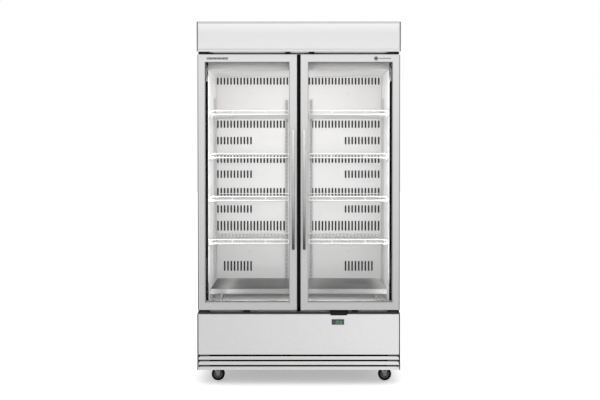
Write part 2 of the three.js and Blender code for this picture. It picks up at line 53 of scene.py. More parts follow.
SIDES = (("left", -1), ("right", 1))
BOTH = (-1, 1)


def box_mm(node):
    """Lowest and highest corner of a CAD node, in millimetres."""
    low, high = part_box(node)
    return low / MM, high / MM


# ---------------------------------------------------------------- materials


def grey(level):
    return (level, level, level)


def add_node(tree, kind, inputs, **settings):
    """A shader node. An input that is given a socket is linked to it, any other value is set."""
    node = tree.nodes.new(kind)
    for key, value in settings.items():
        setattr(node, key, value)
    for key, value in inputs.items():
        if isinstance(value, bpy.types.NodeSocket):
            tree.links.new(value, node.inputs[key])
        else:
            node.inputs[key].default_value = value
    return node


def material(
    name,
    color,
    rough,
    metal=0.0,
    scale=40.0,
    stretch=(1, 1, 1),
    color_amount=0.04,
    rough_amount=0.08,
    bump=0.0,
    bump_scale=None,
    bump_depth=0.0002,
    coat=0.0,
    emission=None,
    strength=0.0,
    alpha=1.0,
    specular=0.5,
    gradient=None,
):
    """A Principled material whose colour and roughness vary with noise, and with a bump.

    gradient = (axis 0-2, metres at which it starts, metres at which it ends, end colour): a colour fade along
    that axis, which paints light or shade.
    """
    m = bpy.data.materials.new(name)
    m.use_nodes = True
    tree = m.node_tree
    shader = tree.nodes["Principled BSDF"]
    shader.inputs["Metallic"].default_value = metal
    shader.inputs["Coat Weight"].default_value = coat
    shader.inputs["Coat Roughness"].default_value = 0.1
    shader.inputs["Specular IOR Level"].default_value = specular
    shader.inputs["Alpha"].default_value = alpha
    place = add_node(tree, "ShaderNodeTexCoord", {}).outputs["Object"]
    mapped = add_node(tree, "ShaderNodeMapping", {"Scale": stretch, "Vector": place}).outputs["Vector"]
    noise = add_node(tree, "ShaderNodeTexNoise", {"Scale": scale, "Detail": 5.0, "Vector": mapped})
    varied = noise.outputs["Fac"]

    base = (*color, 1)
    if gradient:
        axis, start, end, far = gradient
        split = add_node(tree, "ShaderNodeSeparateXYZ", {"Vector": place})
        span = {"Value": split.outputs[axis], "From Min": start, "From Max": end}
        along = add_node(tree, "ShaderNodeMapRange", span).outputs["Result"]
        fade = {"A": base, "B": (*far, 1), "Factor": along}
        base = add_node(tree, "ShaderNodeMix", fade, data_type="RGBA").outputs["Result"]
    span = {"Value": varied, "To Min": 1.0 - color_amount, "To Max": 1.0 + color_amount}
    tint = add_node(tree, "ShaderNodeMapRange", span).outputs["Result"]
    inputs = {"Factor": 1.0, "A": base, "B": tint}
    shade = add_node(tree, "ShaderNodeMix", inputs, data_type="RGBA", blend_type="MULTIPLY")
    tree.links.new(shade.outputs["Result"], shader.inputs["Base Color"])

    low, high = max(0.02, rough - rough_amount), min(1.0, rough + rough_amount)
    gloss = add_node(tree, "ShaderNodeMapRange", {"Value": varied, "To Min": low, "To Max": high})
    tree.links.new(gloss.outputs["Result"], shader.inputs["Roughness"])

    if bump:
        grain = {"Scale": bump_scale or scale, "Detail": 3.0, "Vector": mapped}
        fine = add_node(tree, "ShaderNodeTexNoise", grain).outputs["Fac"]
        relief = add_node(tree, "ShaderNodeBump", {"Strength": bump, "Distance": bump_depth, "Height": fine})
        tree.links.new(relief.outputs["Normal"], shader.inputs["Normal"])
    if emission:
        shader.inputs["Emission Color"].default_value = (*emission, 1)
        shader.inputs["Emission Strength"].default_value = strength
    return m


POWDER = {"bump": 0.25, "bump_scale": 900, "bump_depth": 0.00015}
ENAMEL = {"bump": 0.15, "bump_scale": 700, "bump_depth": 0.0001}
RUBBER = {"bump": 0.2, "bump_scale": 900}
MOTTLED = {"color_amount": 0.2, "rough_amount": 0.12}
UP_GRAIN, LEVEL_GRAIN, LAMP_GRAIN = (60, 60, 0.6), (0.6, 60, 60), (1, 1, 0.2)
BADGE_GRAIN = (200, (1, 8, 8))
SATIN = (0.03, 0.08, 0.15, 500)
BAR_GRAIN = (1.0, 400, (20, 20, 0.5), 0.04, 0.05, 0.05, 700)
SILVER = material("silver_powder_coat", (0.66, 0.66, 0.655), 0.42, 0.15, 60, **POWDER)
# The silver panel grows lighter towards the right: painted light from the right side.
PANEL = material("silver_panel_painted_light", grey(0.535), 0.40, 0.1, 55, gradient=(0, -0.52, 0.45, grey(0.65)), **POWDER)
# The door frames darken from the top rail down to the bottom rail: painted shade.
DOOR_TOP, DOOR_PAINTED_SHADE = (0.655, 0.651, 0.649), (2, 1.82, 0.42, grey(0.425))
STILE = material("satin_aluminium_upright", DOOR_TOP, 0.36, 0.35, 300, UP_GRAIN, *SATIN, gradient=DOOR_PAINTED_SHADE)
RAIL = material("satin_aluminium_level", DOOR_TOP, 0.36, 0.35, 300, LEVEL_GRAIN, *SATIN, gradient=DOOR_PAINTED_SHADE)
DOOR_EDGE = material(
    "shaded_door_edge", grey(0.24), 0.4, 0.5, 300, UP_GRAIN, 0.05, gradient=(2, 1.82, 0.42, grey(0.035)),
)
EDGE_TRIM = material("grey_edge_trim", grey(0.06), 0.4, 0.4, 200, (1, 1, 1), 0.08)
POLISHED = material("polished_bar", grey(0.80), 0.13, *BAR_GRAIN)
WHITE = material("white_enamel", (0.93, 0.93, 0.925), 0.38, 0.0, 30, color_amount=0.015, **ENAMEL)
# The duct panel grows lighter from 1.25 m up to 1.66 m: painted light towards the top.
DUCT = material(
    "duct_enamel_painted_light", (0.80, 0.796, 0.794), 0.42, 0.0, 25, color_amount=0.01, **ENAMEL,
    gradient=(2, 1.25, 1.66, (0.84, 0.823, 0.815)),
)
WIRE_WHITE = material(
    "white_wire_coating", (0.90, 0.90, 0.89), 0.3, 0.0, 90, color_amount=0.03, coat=0.3, bump=0.1,
    bump_scale=400,
)
BRIGHT_WIRE = material("bright_zinc_wire", grey(0.72), 0.28, 0.9, 120, color_amount=0.06)
ZINC = material(
    "zinc_sheet", (0.50, 0.51, 0.52), 0.42, 0.8, 35, color_amount=0.16, rough_amount=0.14, bump=0.1,
    bump_scale=80,
)
GALVANISED = material(
    "galvanised_skin", (0.52, 0.53, 0.54), 0.46, 0.65, 70, color_amount=0.09, rough_amount=0.12, bump=0.1,
    bump_scale=160,
)
# The sign face lightens towards its top edge: painted light from above.
SIGN = material(
    "opal_acrylic_painted_light", grey(0.665), 0.22, 0.0, 12, color_amount=0.006, coat=0.2,
    gradient=(2, 1.955, 2.008, grey(0.79)),
)
BLACK = material(
    "black_moulding", (0.006, 0.006, 0.0065), 0.45, 0.0, 80, bump=0.3, bump_scale=1500, bump_depth=0.0001,
    specular=0.12,
)
LAMP_BLACK = material("lamp_profile", (0.002, 0.002, 0.0022), 0.35, 0.0, 90, LAMP_GRAIN, specular=0.05)
# The lamp cover darkens towards its foot, from 0.66 m down to 0.50 m: painted shade.
LAMP_GREY = material(
    "lamp_cover_painted_shade", (0.06, 0.06, 0.062), 0.3, 0.2, 90, LAMP_GRAIN, specular=0.1,
    gradient=(2, 0.66, 0.50, (0.012, 0.012, 0.013)),
)
BLACK_STEEL = material(
    "black_powder_coat", (0.008, 0.008, 0.0085), 0.4, 0.1, 70, bump=0.3, bump_scale=1200, bump_depth=0.0001,
    specular=0.2,
)
DARK_PAINT = material("chassis_paint", (0.05, 0.051, 0.053), 0.5, 0.1, 40, bump=0.2, bump_scale=600)
GASKET = material("gasket_rubber", (0.010, 0.010, 0.011), 0.6, 0.0, 120, **RUBBER, specular=0.15)
TYRE = material(
    "tyre_rubber", (0.003, 0.003, 0.0032), 0.6, 0.0, 150, bump=0.3, bump_scale=900, bump_depth=0.0003,
    specular=0.08,
)
HUB = material("grey_hub", grey(0.085), 0.45, 0.0, 90, bump=0.15, bump_scale=700)
CASTOR_ZINC = material("castor_plate", (0.09, 0.09, 0.092), 0.35, 0.8, 70, **MOTTLED)
CASTOR_RIB = material("castor_rib", (0.18, 0.18, 0.182), 0.34, 0.9, 70, **MOTTLED)
FOAM = material("rigid_foam", (0.75, 0.66, 0.42), 0.95, 0.0, 400, color_amount=0.12, bump=0.5, bump_scale=900)
FINS = material("fin_stock", (0.60, 0.62, 0.63), 0.35, 0.9, 200, (1, 1, 6), 0.1)
COPPER = material("copper_pipe", (0.72, 0.36, 0.22), 0.3, 1.0, 60, color_amount=0.15, rough_amount=0.12)
COMPRESSOR = material(
    "compressor_paint", (0.012, 0.012, 0.013), 0.22, 0.0, 40, coat=0.4, bump=0.15, bump_scale=300,
)
FAN = material("fan_moulding", (0.016, 0.016, 0.017), 0.4, 0.0, 60)
GLOW = material(
    "light_diffuser", (0.60, 0.61, 0.62), 0.4, 0.0, 60, LAMP_GRAIN, 0.01, emission=(1, 1, 1), strength=0.55,
)
LENS = material("display_lens", (0.006, 0.007, 0.009), 0.08, 0.0, 50, rough_amount=0.03, coat=0.5)
DIGIT = material("green_digits", (0.02, 0.16, 0.05), 0.4, emission=(0.03, 0.30, 0.08), strength=0.6)
ICON = material("pale_icon", (0.16, 0.24, 0.36), 0.4, emission=(0.22, 0.34, 0.48), strength=0.5)
BLUE_DOT = material("blue_icon", (0.008, 0.012, 0.10), 0.4, emission=(0.01, 0.015, 0.16), strength=0.4)
RIM = material("controller_rim", grey(0.75), 0.3, 0.2, 60)
BADGE_DARK = material("dark_badge", (0.022, 0.022, 0.024), 0.22, 0.3, *BADGE_GRAIN, coat=0.4)
BADGE_LIGHT = material("chrome_badge", (0.30, 0.30, 0.31), 0.25, 0.9, *BADGE_GRAIN)
SCREW = material("screw_head", (0.55, 0.55, 0.56), 0.3, 0.9, 300)
LEAD = material("lamp_lead", (0.72, 0.72, 0.71), 0.4, 0.0, 90)
DUCT_DARK = material("duct_shadow", grey(0.05), 0.8, 0.0, 30, specular=0.05)
SCREEN = material(
    "filter_screen", grey(0.004), 0.7, 0.0, 300, bump=0.6, bump_scale=700, bump_depth=0.001, specular=0.05,
)
# The lintel darkens towards its top, under the doors' top rails: painted shade.
LINTEL = material(
    "lintel_enamel_painted_shade", grey(0.70), 0.5, 0.0, 20, color_amount=0.01, gradient=(2, 1.762, 1.80, grey(0.38)),
)
# The ceiling sheet darkens towards the front, under the header: painted shade.
CEILING = material(
    "ceiling_enamel_painted_shade", grey(0.46), 0.5, 0.0, 20, color_amount=0.01, gradient=(1, -0.24, 0.22, grey(0.88)),
)
SILL = material("shaded_sill", grey(0.55), 0.5, 0.3, 60)
SILL_FLOOR = material("shaded_sill_floor", grey(0.11), 0.5, 0.3, 60)
GAP_STRIP = material("shaded_gap_strip", grey(0.26), 0.5, 0.2, 60)
BEAD = material("grey_bead", grey(0.26), 0.5, 0.0, 120, **RUBBER)
# The deck and cross wires are the white coating darkened to grey: painted shade.
WIRE_DECK = material(
    "white_wire_deck_painted_shade", (0.50, 0.50, 0.495), 0.35, 0.0, 90, color_amount=0.05, bump=0.1, bump_scale=400,
)
RACK = material("rack_strip", grey(0.56), 0.45, 0.3, 60, color_amount=0.08)
# The pull bars run from near black at the foot to bright near the top: painted reflection and painted shade.
HANDLE = material("polished_handle", grey(0.06), 0.16, *BAR_GRAIN, gradient=(2, 0.78, 1.48, grey(0.92)))
GLASS = material(
    "clear_glazing", (0.06, 0.08, 0.075), 0.03, 0.0, 8, color_amount=0.01, rough_amount=0.01, alpha=0.02,
)
GLASS.surface_render_method = "BLENDED"


def painted_reflection_sheet(name, stops, rough):
    """Brushed sheet with painted reflections: bands of grey across X that run front to back. stops = (X in
    metres, grey level).
    """
    m = material(name, grey(0.5), rough, 1.0, 260, (0.7, 40, 40), 0.10, 0.08, 0.25, 500)
    tree = m.node_tree
    place = add_node(tree, "ShaderNodeTexCoord", {}).outputs["Object"]
    split = add_node(tree, "ShaderNodeSeparateXYZ", {"Vector": place})
    span = {"Value": split.outputs["X"], "From Min": -0.5, "From Max": 0.5}
    along = add_node(tree, "ShaderNodeMapRange", span).outputs["Result"]
    ramp = add_node(tree, "ShaderNodeValToRGB", {"Fac": along})
    ramp.color_ramp.interpolation = "B_SPLINE"
    elements = ramp.color_ramp.elements
    while len(elements) > 1:
        elements.remove(elements[-1])
    for i, (x, level) in enumerate(stops):
        stop = elements[0] if i == 0 else elements.new(x + 0.5)
        stop.position = x + 0.5
        stop.color = (level, level, level * 0.99, 1)
    shade = next(n for n in tree.nodes if n.bl_idname == "ShaderNodeMix")
    tree.links.new(ramp.outputs["Color"], shade.inputs["A"])
    return m


# Bright and dark bands across the tray top and lip are painted reflections.
TRAY_REFLECTION_STOPS = (
    (-0.50, 0.10), (-0.46, 0.12), (-0.41, 0.85), (-0.36, 0.20), (-0.26, 0.085), (-0.08, 0.13),
    (-0.02, 0.36),
)
TRAY_REFLECTION_STOPS += (
    (0.06, 0.42), (0.12, 0.20), (0.24, 0.11), (0.36, 0.20), (0.42, 0.16), (0.47, 0.74), (0.50, 0.76),
)
TRAY_TOP = painted_reflection_sheet("brushed_tray_top_painted_reflections", TRAY_REFLECTION_STOPS, 0.30)
LIP_REFLECTION_STOPS = (
    (-0.50, 0.80), (-0.46, 0.50), (-0.42, 0.44), (-0.40, 0.80), (-0.33, 0.46), (-0.24, 0.42), (-0.06, 0.40),
)
LIP_REFLECTION_STOPS += (
    (0.06, 0.62), (0.12, 0.46), (0.20, 0.42), (0.34, 0.52), (0.40, 0.50), (0.46, 0.86), (0.50, 0.90),
)
TRAY_LIP = painted_reflection_sheet("brushed_tray_lip_painted_reflections", LIP_REFLECTION_STOPS, 0.30)

# ---------------------------------------------------------------- mesh helpers


def finish_faces(bm, faces, mat):
    """Gives new faces their material and turns them outwards."""
    for f in faces:
        f.material_index = mat
    bmesh.ops.recalc_face_normals(bm, faces=faces)
    return bm


def round_edges(bm, faces, radius, segments, mat):
    """Rounds all edges of faces."""
    edges = list({e for f in faces for e in f.edges})
    done = bmesh.ops.bevel(bm, geom=edges, offset=radius, segments=segments, affect="EDGES", profile=0.5)
    for f in done["faces"]:
        f.material_index = mat


def add_box(bm, low, high, radius=0.0, segments=2, mat=0):
    """A box in bm, with rounded edges when radius is given."""
    low, high = Vector(low), Vector(high)
    size = high - low
    verts = bmesh.ops.create_cube(bm, size=1.0)["verts"]
    for v in verts:
        v.co = Vector((v.co[i] * size[i] for i in range(3))) + (low + high) / 2
    faces = {f for v in verts for f in v.link_faces}
    for f in faces:
        f.material_index = mat
    if radius:
        round_edges(bm, faces, min(radius, min(size) * 0.49), segments, mat)
    return bm


def side_box(bm, side, near, far, y0, y1, z0, z1, radius=0.0, segments=2, mat=0):
    """A box at near..far from the centre plane, on one side of it."""
    x0, x1 = sorted((side * near, side * far))
    return add_box(bm, (x0, y0, z0), (x1, y1, z1), radius, segments, mat)


AXES = {
    "X": (Vector((0, 1, 0)), Vector((0, 0, 1)), Vector((1, 0, 0))),
    "Y": (Vector((1, 0, 0)), Vector((0, 0, 1)), Vector((0, 1, 0))),
    "Z": (Vector((1, 0, 0)), Vector((0, 1, 0)), Vector((0, 0, 1))),
}


def add_prism(bm, points, axis, start, end, radius=0.0, segments=2, mat=0):
    """A flat outline pushed along an axis, its rim rounded when radius is given."""
    a, b, n = AXES[axis]
    low = [bm.verts.new(a * p + b * q + n * start) for p, q in points]
    high = [bm.verts.new(a * p + b * q + n * end) for p, q in points]
    caps = [bm.faces.new(low), bm.faces.new(high)]
    finish_faces(bm, caps + join_rings(bm, low, high), mat)
    if radius:
        round_edges(bm, caps, radius, segments, mat)
    return bm


def join_rings(bm, first, second):
    """Faces between two rings of vertices. A ring of one vertex is a point."""
    count = max(len(first), len(second))
    faces = []
    for k in range(count):
        j = (k + 1) % count
        if len(first) == len(second) == 1:
            continue
        if len(first) == 1:
            corners = (first[0], second[j], second[k])
        elif len(second) == 1:
            corners = (first[k], first[j], second[0])
        else:
            corners = (first[k], first[j], second[j], second[k])
        faces.append(bm.faces.new(corners))
    return faces


def circle(count, start=0.0):
    """Cosine and sine at equal steps round a circle."""
    angles = [start + 2 * math.pi * k / count for k in range(count)]
    return [(math.cos(angle), math.sin(angle)) for angle in angles]


def ring_frame(direction, previous):
    """A pair of vectors square to direction, turned as little as possible from the last pair."""
    if previous is None:
        helper = Vector((0, 0, 1)) if abs(direction.z) < 0.9 else Vector((1, 0, 0))
        u = direction.cross(helper).normalized()
    else:
        u = (previous - direction * previous.dot(direction)).normalized()
    return u, direction.cross(u).normalized()


def add_tube(bm, path, radius, sides=8, mat=0):
    """A round bar through the points of path."""
    path = [Vector(p) for p in path]
    rings, u = [], None
    for i, p in enumerate(path):
        direction = (path[min(i + 1, len(path) - 1)] - path[max(i - 1, 0)]).normalized()
        u, v = ring_frame(direction, u)
        rings.append([bm.verts.new(p + (u * c + v * s) * radius) for c, s in circle(sides)])
    faces = [f for first, second in zip(rings, rings[1:]) for f in join_rings(bm, first, second)]
    faces += [bm.faces.new(list(reversed(rings[0]))), bm.faces.new(rings[-1])]
    return finish_faces(bm, faces, mat)


def rounded_path(points, radius, steps=5):
    """The polyline points with its corners rounded."""
    points = [Vector(p) for p in points]
    out = [points[0]]
    for a, b, c in zip(points, points[1:], points[2:]):
        r = min(radius, (b - a).length * 0.49, (c - b).length * 0.49)
        p, q = b + (a - b).normalized() * r, b + (c - b).normalized() * r
        for i in range(steps + 1):
            t = i / steps
            out.append(p * (1 - t) ** 2 + b * 2 * t * (1 - t) + q * t**2)
    out.append(points[-1])
    return out


def add_lathe(bm, profile, centre, axis="Z", segments=32, mat=0):
    """A profile of (radius, height) turned about an axis through centre."""
    a, b, n = AXES[axis]
    centre = Vector(centre)
    rings = []
    for radius, height in profile:
        turn = circle(segments) if radius > 1e-6 else [(0, 0)]
        rings.append([bm.verts.new(centre + (a * c + b * s) * radius + n * height) for c, s in turn])
    faces = [f for first, second in zip(rings, rings[1:]) for f in join_rings(bm, first, second)]
    return finish_faces(bm, faces, mat)


def add_screw(bm, centre, axis="Y", radius=4.0, sign=-1, mat=0):
    """A pan-head screw with a cross recess, its head standing out along the axis."""
    head = [(0, 0.30), (0.25, 0.30), (0.3, 0.52), (0.62, 0.48), (0.9, 0.28), (1, 0)]
    profile = [(r * radius, sign * h * radius) for r, h in head]
    profile += [(radius * 0.9, -sign * 0.3), (0, -sign * 0.3)]
    return add_lathe(bm, profile, centre, axis, 14, mat)


def perforated(bm, outline, holes, axis, start, end, mat=0):
    """A plate with holes. outline and each hole are lists of points in the plane."""
    coords, loops = [], []
    for loop in [outline] + holes:
        loops.append([len(coords) + i for i in range(len(loop))])
        coords += [Vector(p) for p in loop]
    verts, _, faces, _, _, _ = delaunay_2d_cdt(coords, [], loops, 2, 1e-5)
    a, b, n = AXES[axis]
    low = [bm.verts.new(a * v.x + b * v.y + n * start) for v in verts]
    high = [bm.verts.new(a * v.x + b * v.y + n * end) for v in verts]
    made, used = [], {}
    for f in faces:
        made.append(bm.faces.new([low[i] for i in f]))
        made.append(bm.faces.new([high[i] for i in reversed(f)]))
        for i, j in zip(f, f[1:] + f[:1]):
            used[(i, j)] = True
    for i, j in used:
        if (j, i) not in used:
            made.append(bm.faces.new((low[j], low[i], high[i], high[j])))
    loose = [v for v in low + high if not v.link_faces]
    bmesh.ops.delete(bm, geom=loose, context="VERTS")
    return finish_faces(bm, made, mat)


def slot_loop(x0, x1, z0, z1, steps=4):
    """An upright slot with round ends, as a loop of points."""
    r = (x1 - x0) / 2
    loop = []
    for centre_z, start in ((z1 - r, 0), (z0 + r, math.pi)):
        for k in range(steps + 1):
            angle = start + math.pi * k / steps
            loop.append(((x0 + x1) / 2 + r * math.cos(angle), centre_z + r * math.sin(angle)))
    return loop


def long_slot(x0, x1, z0, z1, steps=4):
    """A level slot with round ends."""
    return [(x, z) for z, x in reversed(slot_loop(z0, z1, x0, x1, steps))]


def rectangle(x0, x1, z0, z1):
    return [(x0, z0), (x1, z0), (x1, z1), (x0, z1)]


def piece(name, bm, mats, replaces=(), body="cabinet", angle=35.0):
    """Turns bm into an object in metres that rides on body."""
    bmesh.ops.scale(bm, vec=(MM, MM, MM), verts=bm.verts)
    mesh = bpy.data.meshes.new(name)
    bm.to_mesh(mesh)
    bm.free()
    for m in mats if isinstance(mats, (list, tuple)) else [mats]:
        mesh.materials.append(m)
    mesh.shade_smooth()
    mesh.set_sharp_from_angle(angle=math.radians(angle))
    obj = bpy.data.objects.new(name, mesh)
    bpy.context.scene.collection.objects.link(obj)
    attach(obj, body)
    if replaces:
        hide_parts(*([replaces] if isinstance(replaces, str) else replaces))
    return obj


def plate(name, low, high, mat, slot, radius=0.0, segments=2, replaces=()):
    """A piece that is a single box."""
    return piece(name, add_box(bmesh.new(), low, high, radius, segments), mat, replaces)


def paint_node(node, mat):
    """Gives a CAD node that stays its material."""
    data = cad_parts[node].data
    data.materials.clear()
    data.materials.append(mat)


# ---------------------------------------------------------------- cabinet skins

for node, mat in {
    "left_side_panel": SILVER,
    "right_side_panel": SILVER,
    "top_panel": SILVER,
    "foam_body": FOAM,
    "inner_liner": WHITE,
    "centre_mullion": BLACK,
    "base_chassis": DARK_PAINT,
}.items():
    paint_node(node, mat)

# rear skin: a thin sheet with folded edges, pressed ribs and flat-headed screws
rear_low, rear_high = box_mm("rear_panel")
skin_y, back_y = rear_low.y + 0.4, rear_high.y
rim = 16
rear_rim = rectangle(rear_low.x + rim, rear_high.x - rim, rear_low.z + rim, rear_high.z - rim)
bm = bmesh.new()
add_box(bm, rear_low, (rear_high.x, skin_y, rear_high.z))
rear_edge = rectangle(rear_low.x, rear_high.x, rear_low.z, rear_high.z)
perforated(bm, rear_edge, [rear_rim], "Y", skin_y - 0.1, back_y)
for x in (-432, -216, 0, 216, 432):
    add_box(bm, (x - 18, skin_y - 0.1, 500), (x + 18, back_y - 0.2, 1742), 0.3, 2)
    # the dark strips along each rib's sides are painted shade
    for shade_strip_x in (x - 19.4, x + 18):
        add_box(bm, (shade_strip_x, skin_y - 0.1, 500), (shade_strip_x + 1.4, back_y - 0.5, 1742), 0, 1, 1)
piece("rear_skin", bm, [GALVANISED, DARK_PAINT], "rear_panel")
bm = bmesh.new()
flat_head = [(0, 0.75), (4.2, 0.75), (5.4, 0.4), (5.8, 0), (0, 0)]
places = [(x, z) for x in (-540, -324, -108, 108, 324, 540) for z in (452, 1790)]
places += [(x, z) for x in (-540, 540) for z in range(620, 1700, 210)]
for x, z in places:
    add_lathe(bm, flat_head, (x, skin_y, z), "Y", 18)
    # a black cross on each head is painted shade for its cross recess
    for u, v in ((2.6, 0.6), (0.6, 2.6)):
        add_box(bm, (x - u, skin_y + 0.7, z - v), (x + u, skin_y + 0.78, z + v), mat=1)
piece("rear_screws", bm, [SCREW, BLACK])

# ---------------------------------------------------------------- header

head_low, head_high = box_mm("header_casing")
sign_low, sign_high = box_mm("sign_panel")
foot_z = head_low.z
head_bottom = foot_z + 11.7
hx = head_high.x
bm = bmesh.new()
add_box(bm, (-hx + 1.5, head_low.y + 10, head_bottom), (hx - 1.5, head_high.y, head_high.z), 5, 4)
add_box(bm, (-495, -250, foot_z), (495, head_high.y - 2, head_bottom + 2), 1)
outer = rectangle(-hx, hx, head_bottom, head_high.z)
rim = 7.0
inner = rectangle(-hx + rim, hx - rim, head_bottom + 10, head_high.z - rim)
perforated(bm, outer, [inner], "Y", head_low.y + 0.4, head_low.y + 14)
for side in BOTH:
    side_box(bm, side, hx - 5.6, hx, head_low.y, head_low.y + 3, head_bottom + 1, head_high.z, 0.8, 2, 1)
add_box(bm, (-hx + 4, head_low.y, head_high.z - 2.6), (hx - 4, head_low.y + 3, head_high.z), 0.8, 2, 1)
piece("header_shell", bm, [SILVER, EDGE_TRIM], "header_casing")

sign_front = sign_low + Vector((0, 0.4, 0))
plate("sign_face", sign_front, sign_high, SIGN, "sign_acrylic", 1.2, replaces="sign_panel")

bm = bmesh.new()
for z0, z1 in ((sign_low.z, sign_low.z + 5), (sign_high.z - 4, sign_high.z)):
    add_box(bm, (sign_low.x + 2, sign_low.y - 0.4, z0), (sign_high.x - 2, sign_low.y + 2.4, z1), 0.8)
piece("sign_retainers", bm, PANEL)

bm = bmesh.new()
for x in (-420, -140, 140, 420):
    add_screw(bm, (x, -200, head_high.z - 2.2), "Z", 4.0, 1)
for side in BOTH:
    for y in (-270, -190):
        for z in (1990, 1880):
            add_screw(bm, (side * (hx - 2.2), y, z), "X", 4.0, side)
piece("header_screws", bm, SCREW)

# ---------------------------------------------------------------- interior: liner, duct, pilasters

SLOT_PITCH = 20.3
FIRST_SLOT = {-1: 497.0, 1: 490.0}
SLOT_HALF = 5.1
FULL_ROWS = ((1712, 1757), (1447, 1494), (1232, 1280), (1031, 1080), (816, 878))
SHORT_ROWS = ((1346, 1394), (1140, 1188), (926, 974))
LOW_ROW = (568, 631)
TOP_ROW_SLOTS, FULL_ROW_SLOTS, SHORT_ROW_SLOTS = 23, 21, 11

duct_low, duct_high = box_mm("rear_duct_panel")
holes = []


def slot_columns(z0, z1, first, last):
    """Slots first..last of a row, counted inwards from each side."""
    for side in BOTH:
        for n in range(first, last + 1):
            x = side * (FIRST_SLOT[side] - SLOT_PITCH * (n - 1))
            holes.append(slot_loop(x - SLOT_HALF, x + SLOT_HALF, z0, z1))


for z0, z1 in FULL_ROWS:
    slot_columns(z0, z1, 1, TOP_ROW_SLOTS if z1 > 1700 else FULL_ROW_SLOTS)
for z0, z1 in SHORT_ROWS:
    slot_columns(z0, z1, 1, SHORT_ROW_SLOTS)
slot_columns(*LOW_ROW, 3, SHORT_ROW_SLOTS)
bm = bmesh.new()
edge = rectangle(duct_low.x, duct_high.x, duct_low.z, duct_high.z)
perforated(bm, edge, holes, "Y", duct_low.y, duct_low.y + 1.5)
piece("duct_panel_slotted", bm, DUCT, "rear_duct_panel", angle=50)

duct_back = (duct_low.x + 1, 280, duct_low.z + 4), (duct_high.x - 1, 281.5, duct_high.z - 4)
plate("duct_back", *duct_back, DUCT_DARK, "chassis_paint")

bm = bmesh.new()
for x in (-300, 0, 300):
    for z in (1655, 1180, 690):
        add_screw(bm, (x, duct_low.y, z), "Y", 4.0, -1)
piece("duct_screws", bm, SCREW)


def pilaster(name, low, high, face, replaces=()):
    """A channel with a column of slots. face is the axis its slots look along, with a sign."""
    bm = bmesh.new()
    axis, sign = face
    deep = 1 if axis == "Y" else 0
    wide = 1 - deep
    front, back = (low[deep], high[deep]) if sign < 0 else (high[deep], low[deep])
    thick, slot_half, slot_height, slot_pitch = 1.5, 2.2, 11, 25
    mid = (low[wide] + high[wide]) / 2
    holes = []
    z = low.z + 12
    while z < high.z - 14:
        holes.append(rectangle(mid - slot_half, mid + slot_half, z, z + slot_height))
        z += slot_pitch
    inside = front - sign * thick
    face_outline = rectangle(low[wide], high[wide], low.z, high.z)
    perforated(bm, face_outline, holes, axis, *sorted((front, inside)))
    for start in (low[wide], high[wide] - thick):
        corners = low.copy(), high.copy()
        corners[0][wide], corners[1][wide] = start, start + thick
        corners[0][deep], corners[1][deep] = sorted((inside, back))
        add_box(bm, *corners)
    piece(name, bm, RACK, replaces)


for name, side in SIDES:
    for place, face in (("inner", ("Y", -1)), ("outer", ("X", -side))):
        node = f"{name}_{place}_pilaster"
        pilaster(f"{name}_{place}_rack", *box_mm(node), face, node)

LINER_X, CEILING_Z = 507.6, 1760.6
GAP_BACK = -262.4
plate("ceiling_sheet", (-LINER_X, -261, CEILING_Z), (LINER_X, 272.6, 1761.9), CEILING, "white_liner")
lintel = (-LINER_X, GAP_BACK - 0.9, CEILING_Z), (LINER_X, GAP_BACK, 1806)
plate("ceiling_lintel", *lintel, LINTEL, "white_liner", 0.3, 1)

# ---------------------------------------------------------------- shelves

DECK_WIRES = 21


def shelf_mesh(side, z, low, high):
    """A welded wire shelf whose deck's middle is at height z."""
    bm = bmesh.new()
    near, far = 59.0, 491.0
    y0, y1 = low.y + 3, high.y - 3
    thin, thick = 1.9, 3.0
    lip = 21.0
    # deck and cross wires take material 1, the white coating darkened as painted shade
    for i in range(DECK_WIRES):
        x = side * (near + (far - near) * i / (DECK_WIRES - 1))
        back = [(x, y1 - 2, z + 0.6), (x, y1 - 0.5, z + 6), (x, y1, z + lip - 1)]
        path = rounded_path([(x, y0, z + 0.6)] + back, 4, 3)
        add_tube(bm, path, thin, 6, 1)
    for y in (y0 + 4, -75, 75, y1 - 6):
        add_tube(bm, [(side * 47, y, z - 3.4), (side * 500, y, z - 3.4)], 2.6, 8, 1)
    add_tube(bm, [(side * 44.5, y0, z), (side * 504.5, y0, z)], thick, 10)
    bar = [(side * x, y0, z + rise) for x, rise in ((47, 2), (63, lip), (495, lip), (503, 2))]
    add_tube(bm, rounded_path(bar, 9, 5), thick * 0.92, 10)
    for x in (187, 375):
        add_tube(bm, [(side * x, y0, z), (side * x, y0, z + lip)], 2.3, 8)
    add_tube(bm, [(side * near, y1, z + lip), (side * far, y1, z + lip)], thick * 0.85, 8)
    for x in (near, far):
        add_tube(bm, [(side * x, y0, z), (side * x, y1, z)], 2.8, 8)
    return bm


def shelf_clips(side, z):
    """The hooked clips that carry a shelf at the rack strips."""
    bm = bmesh.new()
    for y in (-181, 121):
        wall = 507.8 if y < 0 else 497.5
        side_box(bm, side, 482, wall, y - 5, y + 5, z - 13, z - 7.2, 1.2)
        side_box(bm, side, wall - 4, wall, y - 4, y + 4, z - 26, z - 8, 1.0)
    side_box(bm, side, 69, 79, 247, 263.5, z - 13, z - 7.2, 1.2)
    side_box(bm, side, 70, 78, 258, 263, z - 26, z - 8, 1.0)
    return bm


for name, side in SIDES:
    for level in range(1, 5):
        node = f"{name}_shelf_{level}"
        low, high = box_mm(node)
        z = low.z + 3
        wires = shelf_mesh(side, z, low, high)
        piece(f"{name}_wire_shelf_{level}", wires, [WIRE_WHITE, WIRE_DECK], node)
        piece(f"{name}_clips_{level}", shelf_clips(side, z), BRIGHT_WIRE)

# ---------------------------------------------------------------- return air grille and floor tray

